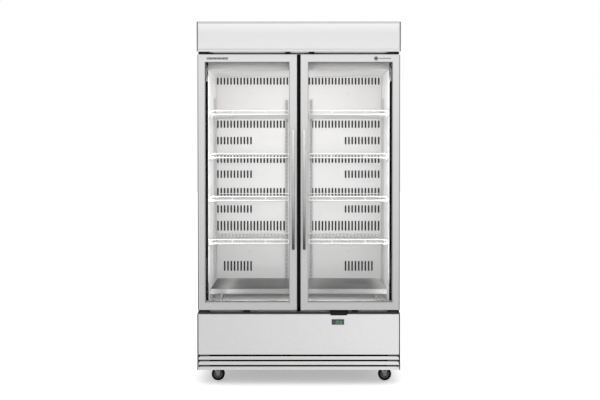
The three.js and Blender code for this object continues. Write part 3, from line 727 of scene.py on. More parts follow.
bm = bmesh.new()
slots = [slot_loop(x - 4, x + 4, -210, -175) for x in range(-430, -85, 18)]
perforated(bm, rectangle(-448, -72, -223, -162), slots, "Z", 450.2, 451.4)
lining, opening = rectangle(-439.8, -80.2, -214.8, -170.2), rectangle(-439, -81, -214, -171)
perforated(bm, lining, [opening], "Z", 402, 450.3, 1)
piece("return_air_grille", bm, [WHITE, SILL])

tray_low, tray_high = box_mm("base_tray")
bm = bmesh.new()
t = 1.5
fy, by, tz, bz = tray_low.y, tray_high.y, tray_high.z, tray_low.z
section = [(fy + 6, bz), (fy + 1, bz), (fy, bz + 1.2), (fy, tz - 3), (fy + 0.9, tz - 0.9), (fy + 3, tz)]
section += [(by - 2, tz), (by, tz - 2), (by, tz - 18), (by - t, tz - 18), (by - t, tz - 3), (by - 3, tz - t)]
section += [(fy + 4, tz - t), (fy + t, tz - 4), (fy + t, bz + t), (fy + 6, bz + t)]
add_prism(bm, section, "X", tray_low.x, tray_high.x)
for f in bm.faces:
    if f.normal.z > 0.96:
        f.material_index = 1
piece("tray_sheet", bm, [TRAY_LIP, TRAY_TOP], "base_tray", angle=25)

for name, side in SIDES:
    low, high = box_mm(f"{name}_tray_support")
    bm = bmesh.new()
    near, far = 437.0, 493.0
    top, bottom = high.z - 3.2, 462.0
    for y in (low.y + 3, high.y - 3):
        middle = (near + far) / 2
        loop = ((middle, top), (near, top), (near, bottom), (far, bottom), (far, top), (middle, top))
        add_tube(bm, rounded_path([(side * x, y, z) for x, z in loop], 5, 4), 3.2, 10)
        for x in (near + 10, far - 10):
            add_tube(bm, [(side * x, y, low.z + 0.5), (side * x, y, bottom)], 3.0, 10)
    for x in (near, far):
        add_tube(bm, [(side * x, low.y + 3, bottom), (side * x, high.y - 3, bottom)], 3.0, 8)
    piece(f"{name}_tray_cradle", bm, BRIGHT_WIRE, f"{name}_tray_support")

# ---------------------------------------------------------------- lamps

LAMP_TOP = 1714.0
COVER_TOP = 700.0
for name, side in SIDES:
    low, high = box_mm(f"{name}_lamp")
    near, far = (low.x, high.x) if side > 0 else (-high.x, -low.x)
    y0 = -262.0
    y1 = high.y
    bm = bmesh.new()
    side_box(bm, side, near, far, y0, y1, COVER_TOP, LAMP_TOP, 1.5, 3)
    side_box(bm, side, near, far, y0 + 0.6, y1, low.z, COVER_TOP - 0.6, 1.5, 3, 1)
    side_box(bm, side, near, far, y1 - 4, y1, LAMP_TOP - 1, high.z, 0.5, 1)
    side_box(bm, side, near + 0.5, near + 3.0, y0 - 0.2, y1 - 4, low.z, LAMP_TOP - 2, 0.5, 1)
    cap_place = (side * (near + far) / 2, y0 + 0.4, 512)
    add_lathe(bm, [(0, -3.4), (4.2, -3.0), (5.6, -1.6), (6.0, 0.4), (0, 0.4)], cap_place, "Y", 20, 1)
    add_lathe(bm, [(0, -3.8), (2.2, -3.6), (2.4, -2.6), (0, -2.6)], cap_place, "Y", 16, 2)
    piece(f"{name}_lamp_profile", bm, [LAMP_BLACK, LAMP_GREY, HUB], f"{name}_lamp")
    bm = bmesh.new()
    side_box(bm, side, near - 1.6, near - 0.1, y0 + 6, y1 - 4, 560, LAMP_TOP - 20, 0.7, 3)
    piece(f"{name}_light_diffuser", bm, GLOW)
    bm = bmesh.new()
    side_box(bm, side, far + 0.04, far + 0.24, y0 + 1.6, y1, LAMP_TOP, high.z, 0)
    side_box(bm, side, near, far, y0 + 1.6, y1, high.z + 0.04, high.z + 0.24, 0)
    piece(f"{name}_recess_lining", bm, LAMP_BLACK)
    # two leads up into the recess: outwards of the connector, behind the lamp's front, above its top
    back = y1 - 3.5 - y0
    leads = (
        ((3, 8, -2), (4, 5, 14), (-1, 3, 30), (-4, 4, 50), (1, 5, 66), (4, 10, 76), (1, back, 82)),
        ((-4, 7, -2), (-5, 4, 12), (1, 3, 22), (4, 4, 40), (-1, 8, 58), (0, back, 66)),
    )
    bm = bmesh.new()
    for lead in leads:
        path = [(side * (near + 7 + out), y0 + behind, LAMP_TOP + up) for out, behind, up in lead]
        add_tube(bm, rounded_path(path, 9, 4), 1.8, 8)
    side_box(bm, side, near + 1, near + 10, y0 - 1.2, y0 + 5, LAMP_TOP - 22, LAMP_TOP + 5, 1.4, 2)
    piece(f"{name}_lamp_leads", bm, LEAD)

# ---------------------------------------------------------------- doors

PROFILE = [(0, 45), (0, 5.2), (0.5, 2.9), (1.5, 1.4), (3.2, 0.5), (5.5, 0)]
PROFILE += [
    (34.5, 0), (36.6, 0.4), (37.6, 1.5), (38.4, 1.9), (40.0, 2.1), (40.8, 2.9), (41, 4.2), (41, 44),
    (40, 45),
]
EDGES = ("left", "right", "bottom", "top")
RAIL_WIDTH = {"left": 41.0, "right": 41.0, "bottom": 44.0, "top": 41.0}
MITRE = 0.12
# faces of a swept length, counted after its two ends: the rounded front edge, and the inner side
ROUNDED_FACES, INNER_FACE = range(3, 7), 14


def sweep_frame(bm, x0, x1, z0, z1, y0, profile, widths, unit, mats=(0, 1), shaded=()):
    """Four mitred lengths of a profile of (inward, back) round a rectangle."""
    for edge in EDGES:
        ends = []
        for end in (0, 1):
            ring = []
            for u, v in profile:
                s = u / unit
                inset = MITRE * (1 if end == 0 else -1)
                left, right = x0 + widths["left"] * s, x1 - widths["right"] * s
                bottom, top = z0 + widths["bottom"] * s, z1 - widths["top"] * s
                if edge in ("left", "right"):
                    x = left if edge == "left" else right
                    z = bottom if end == 0 else top
                    ring.append(bm.verts.new((x, y0 + v, z + inset)))
                else:
                    z = bottom if edge == "bottom" else top
                    x = left if end == 0 else right
                    ring.append(bm.verts.new((x + inset, y0 + v, z)))
            ends.append(ring)
        faces = [bm.faces.new(ends[0]), bm.faces.new(ends[1])]
        count = len(profile)
        for i in range(count):
            j = (i + 1) % count
            faces.append(bm.faces.new((ends[0][i], ends[0][j], ends[1][j], ends[1][i])))
        for i, f in enumerate(faces):
            f.material_index = mats[0] if edge in ("left", "right") else mats[1]
            if edge in shaded and i in ROUNDED_FACES:
                f.material_index = mats[2]
            if len(mats) > 3 and i == INNER_FACE:
                f.material_index = mats[3]
        bmesh.ops.recalc_face_normals(bm, faces=faces)
    return bm


def bar_profile(radius, z0, z1):
    """A round bar with softly turned ends."""
    out = [(0, z0)]
    for k in range(5):
        angle = math.pi / 2 * k / 4
        out.append((radius - 3 + 3 * math.sin(angle), z0 + 3 - 3 * math.cos(angle)))
    for k in range(5):
        angle = math.pi / 2 * k / 4
        out.append((radius - 3 + 3 * math.cos(angle), z1 - 3 + 3 * math.sin(angle)))
    return out + [(0, z1)]



for name, side in SIDES:
    body = f"{name}_door"
    low, high = box_mm(f"{name}_door_frame")
    bm = bmesh.new()
    sweep_frame(bm, low.x, high.x, low.z, high.z, low.y, PROFILE, RAIL_WIDTH, 41.0, (0, 1, 2, 3), (name,))
    piece(
        f"{name}_door_extrusions", bm, [STILE, RAIL, DOOR_EDGE, GASKET],
        f"{name}_door_frame", body, 28,
    )

    # glazing: two panes, the spacer between them and the bead that holds them
    gx0, gx1 = low.x + 38, high.x - 38
    gz0, gz1 = low.z + 41, high.z - 38
    bm = bmesh.new()
    for y in (low.y + 6.3, low.y + 22):
        add_box(bm, (gx0, y, gz0), (gx1, y + 4, gz1), 0.5, 1)
    piece(f"{name}_panes", bm, GLASS, f"{name}_glass_unit", body)
    bm = bmesh.new()
    spacer = rectangle(0, 8, 0, 11)
    widths = dict.fromkeys(EDGES, 8.0)
    sweep_frame(bm, gx0 - 4, gx1 + 4, gz0 - 4, gz1 + 4, low.y + 10.6, spacer, widths, 8.0, (0, 0))
    piece(f"{name}_pane_spacer", bm, BEAD, body=body)
    bm = bmesh.new()
    widths = dict.fromkeys(EDGES, 3.5)
    front_bead = [(0, 0), (2.5, 0), (3.5, 1), (3.5, 2.6), (0, 2.6)]
    back_bead = [(0, 0), (3.5, 0), (3.5, 3), (2, 4.5), (0, 4.5)]
    around = low.x + 40, high.x - 40, low.z + 43, high.z - 40
    for y, bead in ((low.y + 3.5, front_bead), (low.y + 26.2, back_bead)):
        sweep_frame(bm, *around, y, bead, widths, 3.5, (0, 0))
    piece(f"{name}_glazing_beads", bm, BEAD, body=body)

    # magnetic gasket with its bellows
    low_g, high_g = box_mm(f"{name}_door_gasket")
    bm = bmesh.new()
    widths = dict.fromkeys(EDGES, 20.0)
    seal = [(2, 0), (18, 0), (17, 2), (14.5, 3.0), (17, 4.2), (19.6, 5.4), (20, 8.2), (18.5, 9.4)]
    seal += [(1.5, 9.4), (0, 8.2), (0.4, 5.4), (3, 4.2), (5.5, 3.0), (3, 2)]
    sweep_frame(bm, low_g.x, high_g.x, low_g.z, high_g.z, low_g.y, seal, widths, 20.0, (0, 0))
    piece(f"{name}_gasket_bellows", bm, GASKET, f"{name}_door_gasket", body, 40)

    # handle
    low_h, high_h = box_mm(f"{name}_handle")
    x = (low_h.x + high_h.x) / 2
    radius = (high_h.x - low_h.x) / 2
    bar_y = low_h.y + radius
    bm = bmesh.new()
    add_lathe(bm, bar_profile(radius, low_h.z, high_h.z), (x, bar_y, 0), "Z", 32)
    piece(f"{name}_pull_bar", bm, HANDLE, f"{name}_handle", body)
    bm = bmesh.new()
    post = [(0, bar_y + 3), (5.2, bar_y + 3), (5.2, low.y - 4), (6.2, low.y - 3), (8.6, low.y - 2.4)]
    post += [(9, low.y - 1.6), (9, low.y + 0.2), (0, low.y + 0.2)]
    for z in (low_h.z + 30, high_h.z - 30):
        add_lathe(bm, post, (x, 0, z), "Y", 24)
    piece(f"{name}_handle_posts", bm, POLISHED, body=body)

    # blank badges on the top rail
    bm = bmesh.new()
    if side < 0:
        add_box(bm, (-510, low.y - 1.0, high.z - 29), (-392, low.y + 0.3, high.z - 18), 1.6, 3)
        for i in range(5):
            x = -508 + i * 23.6
            add_box(bm, (x, low.y - 1.3, high.z - 27), (x + 19, low.y - 0.9, high.z - 20), 0.2, 1, 1)
    else:
        add_box(bm, (443, low.y - 0.8, high.z - 26.5), (511, low.y + 0.3, high.z - 20.5), 1.2, 3, 1)
        disc = (428, low.y, high.z - 23.5)
        add_lathe(bm, [(0, -1.2), (11, -1.2), (12.4, -0.8), (12.8, 0.3), (0, 0.3)], disc, "Y", 28, 1)
        add_lathe(bm, [(0, -1.6), (6, -1.5), (6.6, -0.9), (0, -0.9)], disc, "Y", 24, 0)
    piece(f"{name}_blank_badge", bm, [BADGE_DARK, BADGE_LIGHT], body=body)

# ---------------------------------------------------------------- hinges, and the gaps round the doors

PIN_X, PIN_Y = 549, -297
for name, side in SIDES:
    z0 = foot_z
    bm = bmesh.new()
    arm = [
        (503, -262), (503, -306), (507, -312), (551, -312), (557, -306), (557, -262), (557, -192),
        (503, -192),
    ]
    add_prism(bm, [(side * x, y) for x, y in arm], "Z", z0, z0 + 5, 0.8)
    add_prism(bm, [(side * x, y) for x, y in arm[:6]], "Z", z0 + 4, z0 + 9.5, 1.2)
    wing = [(503, -312.5), (503, -290), (478, -290), (484, -312.5)]
    add_prism(bm, [(side * x, y) for x, y in wing], "Z", z0 + 0.4, z0 + 5, 0.8)
    pin = [(0, 1818), (5, 1818), (6, 1819), (6, z0 + 10.2), (5, z0 + 11.2), (0, z0 + 11.2)]
    add_lathe(bm, pin, (side * PIN_X, PIN_Y, 0), "Z", 24)
    for x, y in ((515, -215), (545, -215), (530, -240)):
        add_screw(bm, (side * x, y, z0 + 5), "Z", 4.5, 1, 1)
    piece(f"{name}_upper_hinge", bm, [BLACK_STEEL, SCREW], f"{name}_top_hinge")

    z0 = box_mm(f"{name}_bottom_hinge")[0].z
    bm = bmesh.new()
    block = [(500, -262.5), (500, -306), (506, -313), (552, -313), (558, -307), (558, -262.5)]
    add_prism(bm, [(side * x, y) for x, y in block], "Z", z0, z0 + 14, 1.6, 3)
    pin = [(0, z0 + 12), (6, z0 + 12), (6, 436.5), (5, 437.8), (0, 437.8)]
    add_lathe(bm, pin, (side * PIN_X, PIN_Y, 0), "Z", 24)
    piece(f"{name}_lower_hinge", bm, [BLACK_STEEL, SCREW], f"{name}_bottom_hinge")

bm = bmesh.new()
for x0, x1 in ((-74, -46), (56, 87)):
    add_box(bm, (x0, -311, 1842), (x1, -262, 1851.5), 2)
piece("door_switches", bm, BLACK)
bm = bmesh.new()
for x0, x1 in ((-314, -272), (293, 332)):
    block = [(x0, 400.4), (x1, 400.4), (x1 - 4, 416), (x0 + 7, 416)]
    add_prism(bm, block, "Y", -309, -268, 1.5, 2)
piece("door_magnets", bm, BLACK)
bm = bmesh.new()
crown = [(179, 388.5), (266, 388.5), (275, 399), (275, 410.5), (176, 410.5), (176, 392)]
add_prism(bm, crown, "Y", -317, -266, 1.5, 2)
piece("controller_crown", bm, BLACK)
bm = bmesh.new()
add_box(bm, (-557, -313.2, 400.15), (557, GAP_BACK, 401.6), mat=1)
add_box(bm, (-557, GAP_BACK - 1.8, 401.6), (557, GAP_BACK, 426))
piece("bottom_gap_sill", bm, [SILL, SILL_FLOOR])
strip = (-494, GAP_BACK - 2, 1840.6), (494, GAP_BACK, 1852.8)
plate("header_gap_strip", *strip, GAP_STRIP, "silver_paint", 0.3, 1)
plate("header_return", (-494, -298, 1848.6), (494, -295.5, 1866), SILVER, "silver_paint", 0.5, 1)
cover = (-12.5, GAP_BACK - 1.8, 402), (12.5, GAP_BACK, 1840.6)
plate("door_gap_cover", *cover, BLACK, "black_trim", 0.5)

# ---------------------------------------------------------------- lower panel, louvres, controller

panel_low, panel_high = box_mm("lower_front_panel")
px = panel_high.x
py = panel_low.y
main_bottom = 173.4
ctl_low, ctl_high = box_mm("controller_housing")
bm = bmesh.new()
window = rectangle(ctl_low.x + 2, ctl_high.x - 2, ctl_low.z + 3, ctl_high.z - 3)
perforated(
    bm, rectangle(-px + 1.2, px - 1.2, main_bottom, panel_high.z - 1.2), [window], "Y", py + 0.01, py + 2.0,
)
lip = [(0, -4), (0.3, -1.6), (1.6, -0.3), (3.5, 0), (9, 0), (9, -1.6), (4, -1.6), (2, -4)]
add_prism(bm, [(py + y, panel_high.z + z) for y, z in lip], "X", -px, px)
for side in BOTH:
    side_box(bm, side, px - 1.4, px, py + 0.4, py + 9, main_bottom + 1, panel_high.z - 1, 0.5, 1)
hem = [(0.4, -3.5), (0, -1.5), (0, 2), (2, 2), (2, -0.5), (12, -2.5), (12, -4)]
add_prism(bm, [(py + y, main_bottom + z) for y, z in hem], "X", -px + 1.2, px - 1.2)

LOUVRES = ((84.0, 102.4), (112.0, 131.4), (141.0, 159.4))


def slat_outline(z0, z1):
    """The slat's front outline, with its upper outer corners rounded."""
    r = 12.0
    pts = [(-px + 0.5, z0), (px - 0.5, z0), (px - 0.5, z1 - r)]
    for k in range(1, 6):
        angle = math.pi / 2 * k / 6
        pts.append((px - 0.5 - r + r * math.cos(angle), z1 - r + r * math.sin(angle)))
    pts.append((px - 0.5 - r, z1))
    left = [(-x, z) for x, z in reversed(pts[2:])]
    return pts + left[:-1] + [(-px + 0.5, z1 - r)]


for z0, z1 in LOUVRES:
    add_prism(bm, slat_outline(z0, z1), "Y", py, py + 4.5, 1.6, 3)
    nose = [(py + 3, z1 - 2), (py + 3, z1 - 3.5), (py + 15, z0 + 4), (py + 15, z0 + 5.5)]
    add_prism(bm, nose, "X", -px + 10, px - 10)
piece("louvred_panel", bm, PANEL, "lower_front_panel", angle=30)

bm = bmesh.new()
add_box(bm, (-px + 62, -292, 104), (px - 62, -289, 172), 0)
for i in range(56):
    x = -px + 70 + i * (2 * px - 140) / 55
    add_box(bm, (x - 0.8, -294, 104), (x + 0.8, -292, 172), 0)
piece("air_filter", bm, SCREEN)
bm = bmesh.new()
for side in BOTH:
    side_box(bm, side, px - 60, px - 6, -303, -299, 103, 178, 1, 1)
    side_box(bm, side, px - 9, px - 6, -303, -294, 103, 178, 1, 1)
piece("louvre_brackets", bm, HUB)
bm = bmesh.new()
for side in BOTH:
    side_box(bm, side, px + 0.2, 564.9, py, py + 2, 84.2, 398, 0.5, 1)
piece("base_edge_trims", bm, EDGE_TRIM)

low, high = ctl_low, ctl_high
bm = bmesh.new()
add_box(bm, low, (high.x, low.y + 2, high.z), 1.4, 3)
add_box(bm, (low.x + 2.4, low.y + 1, low.z + 3.4), (high.x - 2.4, high.y, high.z - 3.4), 1, 1, 1)
piece("controller_body", bm, [RIM, BLACK], "controller_housing")
low_d, high_d = box_mm("controller_display")
lens = (low.x + 1.6, low_d.y + 0.1, low.z + 1.6), (high.x - 1.6, high_d.y + 0.2, high.z - 1.6)
plate("controller_lens", *lens, LENS, "display_lens", 0.5, replaces="controller_display")

SEGMENTS = {
    "a": ((0.15, 1.0), (0.85, 1.0)),
    "b": ((1.0, 0.55), (1.0, 0.95)),
    "c": ((1.0, 0.05), (1.0, 0.45)),
    "d": ((0.15, 0.0), (0.85, 0.0)),
    "e": ((0.0, 0.05), (0.0, 0.45)),
    "f": ((0.0, 0.55), (0.0, 0.95)),
    "g": ((0.15, 0.5), (0.85, 0.5)),
}
DIGITS = {"3": "abcdg", "0": "abcdef"}
DIGIT_WIDTH, DIGIT_HEIGHT, STROKE = 7.5, 15.0, 1.15
face_y = low_d.y + 0.05
cz = (low.z + high.z) / 2


def mark(bm, x0, x1, z0, z1, radius=0.0):
    """A thin mark on the display, z measured from its middle."""
    add_box(bm, (x0, face_y - 0.12, cz + z0), (x1, face_y + 0.05, cz + z1), radius, 1)


bm = bmesh.new()
for char, x0 in (("3", 205.0), ("0", 216.5)):
    for key in DIGITS[char]:
        xs, zs = zip(*[(x0 + u * DIGIT_WIDTH, (w - 0.5) * DIGIT_HEIGHT) for u, w in SEGMENTS[key]])
        mark(bm, min(xs) - STROKE, max(xs) + STROKE, min(zs) - STROKE, max(zs) + STROKE)
mark(bm, 213.8, 215.4, -DIGIT_HEIGHT / 2 - 1, -DIGIT_HEIGHT / 2 + 0.8)
piece("display_digits", bm, DIGIT)
bm = bmesh.new()
for c, d in circle(6):
    centre = Vector((234.5, face_y - 0.05, cz + 2))
    add_tube(bm, [centre, centre + Vector((c, 0, d)) * 5.6], 0.8, 6)
mark(bm, 229, 240, -9.5, -7.2, 0.2)
piece("display_icon", bm, ICON)
bm = bmesh.new()
mark(bm, 191, 199, 1, 7, 0.3)
mark(bm, 191, 196, -7, -4, 0.3)
piece("display_marks", bm, BLUE_DOT)

# ---------------------------------------------------------------- machine compartment

bm = bmesh.new()
low, high = box_mm("rear_grille")
plate_y = high.y
slots, hoods = [], []
for row in range(8):
    z = 150 + row * 24
    for x0, x1 in ((-480, -60), (60, 380)):
        count = 6 if x0 < 0 else 5
        step = (x1 - x0) / count
        for i in range(count):
            a0, a1 = x0 + i * step + 5, x0 + (i + 1) * step - 5
            slots.append(long_slot(a0, a1, z, z + 8))
            hoods.append((a0, a1, z))
inlet = rectangle(434, 478, 174, 198)
perforated(bm, rectangle(low.x, high.x, low.z, high.z), slots + [inlet], "Y", plate_y - 2, plate_y - 0.9)
for a0, a1, z in hoods:
    hood = [(-1.5, 8), (-0.5, 8.4), (0, 6.5), (-0.3, 5.5), (-0.9, 7.2), (-1.8, 7.4)]
    add_prism(bm, [(plate_y + y, z + up) for y, up in hood], "X", a0 + 2, a1 - 2)
for x in (-545, -270, 0, 420, 545):
    for z in (118, 385):
        add_screw(bm, (x, plate_y - 2.2, z), "Y", 4, 1, 1)
piece("rear_louvre_plate", bm, [BLACK_STEEL, SCREW], "rear_grille")
bm = bmesh.new()
outer = rectangle(430, 482, 170, 202)
perforated(bm, outer, [rectangle(436, 476, 176, 196)], "Y", plate_y - 34, plate_y)
add_box(bm, (435, plate_y - 34.5, 175), (477, plate_y - 30, 197), 0)
for x in (446, 456, 466):
    add_box(bm, (x - 1, plate_y - 31, 184), (x + 1, plate_y - 14, 190), 0.3, 1, 1)
piece("power_inlet", bm, [BLACK, SCREW])

cx, cy, r = 300.0, 150.0, 78.0
bm = bmesh.new()
shell = [(0, 114), (r * 0.55, 114), (r * 0.8, 118), (r * 0.94, 128), (r, 146), (r, 184)]
shell += [(r + 3.4, 185.5), (r + 4, 187), (r + 4, 195), (r + 3.4, 196.5), (r, 198), (r, 228)]
shell += [(r * 0.95, 246), (r * 0.84, 262), (r * 0.62, 275), (r * 0.3, 282), (0, 284)]
add_lathe(bm, shell, (cx, cy, 0), "Z", 48)
add_box(bm, (cx - 105, cy - 60, 105), (cx + 105, cy + 60, 109), 1.5)
mount = [(0, 101.5), (9, 101.5), (11, 104), (9, 108), (9, 112), (11, 114), (9, 117), (0, 117)]
for sx in BOTH:
    for sy in BOTH:
        add_lathe(bm, mount, (cx + sx * 90, cy + sy * 48, 0), "Z", 20, 1)
side_box(bm, 1, cx + r - 12, cx + r + 32, cy - 34, cy + 34, 190, 250, 5, 3, 2)
add_box(bm, (cx - 30, cy - 22, 280), (cx + 30, cy + 22, 283.5), 1, 1)
piece("compressor_shell", bm, [COMPRESSOR, GASKET, BLACK], "compressor")


def finned_coil(node, rows, fin_count, z_step):
    """End plates, fins and rows of pipes in the space of a coil's CAD node."""
    low, high = box_mm(node)
    if node == "evaporator_coil":
        high.y = 190  # the fan motor's bracket takes the rest of the node's depth
    bm = bmesh.new()
    for x in (low.x, high.x - 2):
        add_box(bm, (x, low.y, low.z), (x + 2, high.y, high.z), 0.5, 1)
    for i in range(fin_count):
        x = low.x + 6 + (high.x - low.x - 12) * i / (fin_count - 1)
        add_box(bm, (x - 0.35, low.y + 1, low.z + 2), (x + 0.35, high.y - 1, high.z - 2))
    z = low.z + z_step / 2
    while z < high.z - 8:
        for j in range(rows):
            y = low.y + (high.y - low.y) * (j + 0.5) / rows
            add_tube(bm, [(low.x + 1, y, z), (high.x - 1, y, z)], 4.6, 10, 1)
        z += z_step
    return bm


bm = finned_coil("condenser_coil", 2, 60, 25)
piece("condenser_fins", bm, [FINS, COPPER], "condenser_coil")
bm = finned_coil("evaporator_coil", 4, 56, 28)
ex, ez = -260.0, 312.0
motor = [(0, 178), (16, 178), (22, 181), (24, 186), (24, 204), (22, 208), (8, 208), (0, 208)]
add_lathe(bm, motor, (ex, 0, ez), "Y", 28, 2)
add_box(bm, (ex - 20, 180, 242), (ex + 20, 194, 383), 2, 1)
piece("evaporator_fins", bm, [FINS, COPPER, FAN], "evaporator_coil")

low, high = box_mm("condenser_fan_shroud")
sx, sz = 240.0, 250.0
bm = bmesh.new()
ring = [(sx + 86 * c, sz + 86 * d) for c, d in circle(48)]
perforated(bm, rectangle(low.x, high.x, low.z, high.z), [ring], "Y", low.y + 28, low.y + 30)
flange = low.y + 30
for x in (low.x, high.x - 2):
    add_box(bm, (x, low.y, low.z), (x + 2, flange, high.z), 0.5, 1)
for z in (low.z, high.z - 2):
    add_box(bm, (low.x, low.y, z), (high.x, flange, z + 2), 0.5, 1)
add_lathe(bm, [(86, 28), (86, 40), (88, 40), (88, 28), (86, 28)], (sx, low.y, sz), "Y", 48)
for side in (1, -1):
    arm = [(sx + side * 91.8, low.y + 32, sz), (sx + side * 90, low.y + 61, sz), (sx, low.y + 61, sz)]
    add_tube(bm, rounded_path(arm, 10, 4), 3.4, 10)
motor = [(0, 46), (26, 46), (32, 49), (34, 55), (34, 92), (31, 98), (10, 100), (0, 100)]
add_lathe(bm, motor, (sx, low.y, sz), "Y", 32, 1)
piece("fan_shroud_sheet", bm, [ZINC, FAN], "condenser_fan_shroud")


def fan_rotor(name, node, body, centre, hub, tip, depth, blades):
    """A moulded fan: a domed hub with twisted blades."""
    bm = bmesh.new()
    x, y, z = centre
    half = depth / 2
    cap = [(0, -half), (hub * 0.7, -half), (hub * 0.94, -half * 0.8), (hub, -half * 0.4)]
    cap += [(hub, half), (hub - 2, half), (hub - 2, 0), (0, 0)]
    add_lathe(bm, cap, centre, "Y", 28)
    for b in range(blades):
        start = 2 * math.pi * b / blades
        grid = []
        for i in range(9):
            radial = hub - 1.5 + (tip - hub + 1.5) * i / 8
            row = []
            for j in range(7):
                s = j / 6 - 0.5
                chord = 0.62 + 0.10 * math.sin(math.pi * i / 8)
                angle = start + s * chord + 0.12 * (i / 8) ** 2
                lift = s * depth * (0.86 - 0.25 * i / 8) + 2.0 * (0.25 - s * s)
                row.append((x + radial * math.cos(angle), y + lift, z + radial * math.sin(angle)))
            grid.append(row)
        top, under = [
            [[bm.verts.new((u, v + offset, w)) for u, v, w in row] for row in grid]
            for offset in (-0.7, 0.7)
        ]
        faces = []
        for i in range(8):
            for j in range(6):
                square = ((i, j), (i + 1, j), (i + 1, j + 1), (i, j + 1))
                faces.append(bm.faces.new([top[u][v] for u, v in square]))
                faces.append(bm.faces.new([under[u][v] for u, v in (square[0], *square[:0:-1])]))
        rim = [(i, 0) for i in range(9)] + [(8, j) for j in range(1, 7)]
        rim += [(i, 6) for i in range(7, -1, -1)] + [(0, j) for j in range(5, 0, -1)]
        for (i, j), (k, l) in zip(rim, rim[1:] + rim[:1]):
            faces.append(bm.faces.new((top[i][j], top[k][l], under[k][l], under[i][j])))
        bmesh.ops.recalc_face_normals(bm, faces=faces)
    piece(name, bm, FAN, node, body)


low, high = box_mm("condenser_fan_blade")
centre = (sx, (low.y + high.y) / 2, sz)
fan_rotor("condenser_fan_rotor", "condenser_fan_blade", "condenser_fan", centre, 26, 79, 20, 5)
low, high = box_mm("evaporator_fan_blade")
centre = (ex, (low.y + high.y) / 2, ez)
fan_rotor("evaporator_fan_rotor", "evaporator_fan_blade", "evaporator_fan", centre, 20, 61, 16, 5)

bm = bmesh.new()
pipes = [
    [
        (cx - 40, cy - 30, 276), (cx - 60, cy - 50, 310), (150, 40, 330), (120, -120, 330),
        (100, -190, 330), (80, -212, 330),
    ],
    [(cx - 20, cy - 60, 262), (cx - 20, cy - 110, 300), (430, -60, 320), (430, -200, 300), (415, -214, 300)],
    [(cx - 62, cy + 20, 262), (150, 170, 330), (0, 175, 350), (-50, 175, 350), (-79, 150, 350)],
]
for path in pipes:
    add_tube(bm, rounded_path(path, 26, 6), 3.6, 10)
piece("copper_pipes", bm, COPPER)

# ---------------------------------------------------------------- castors


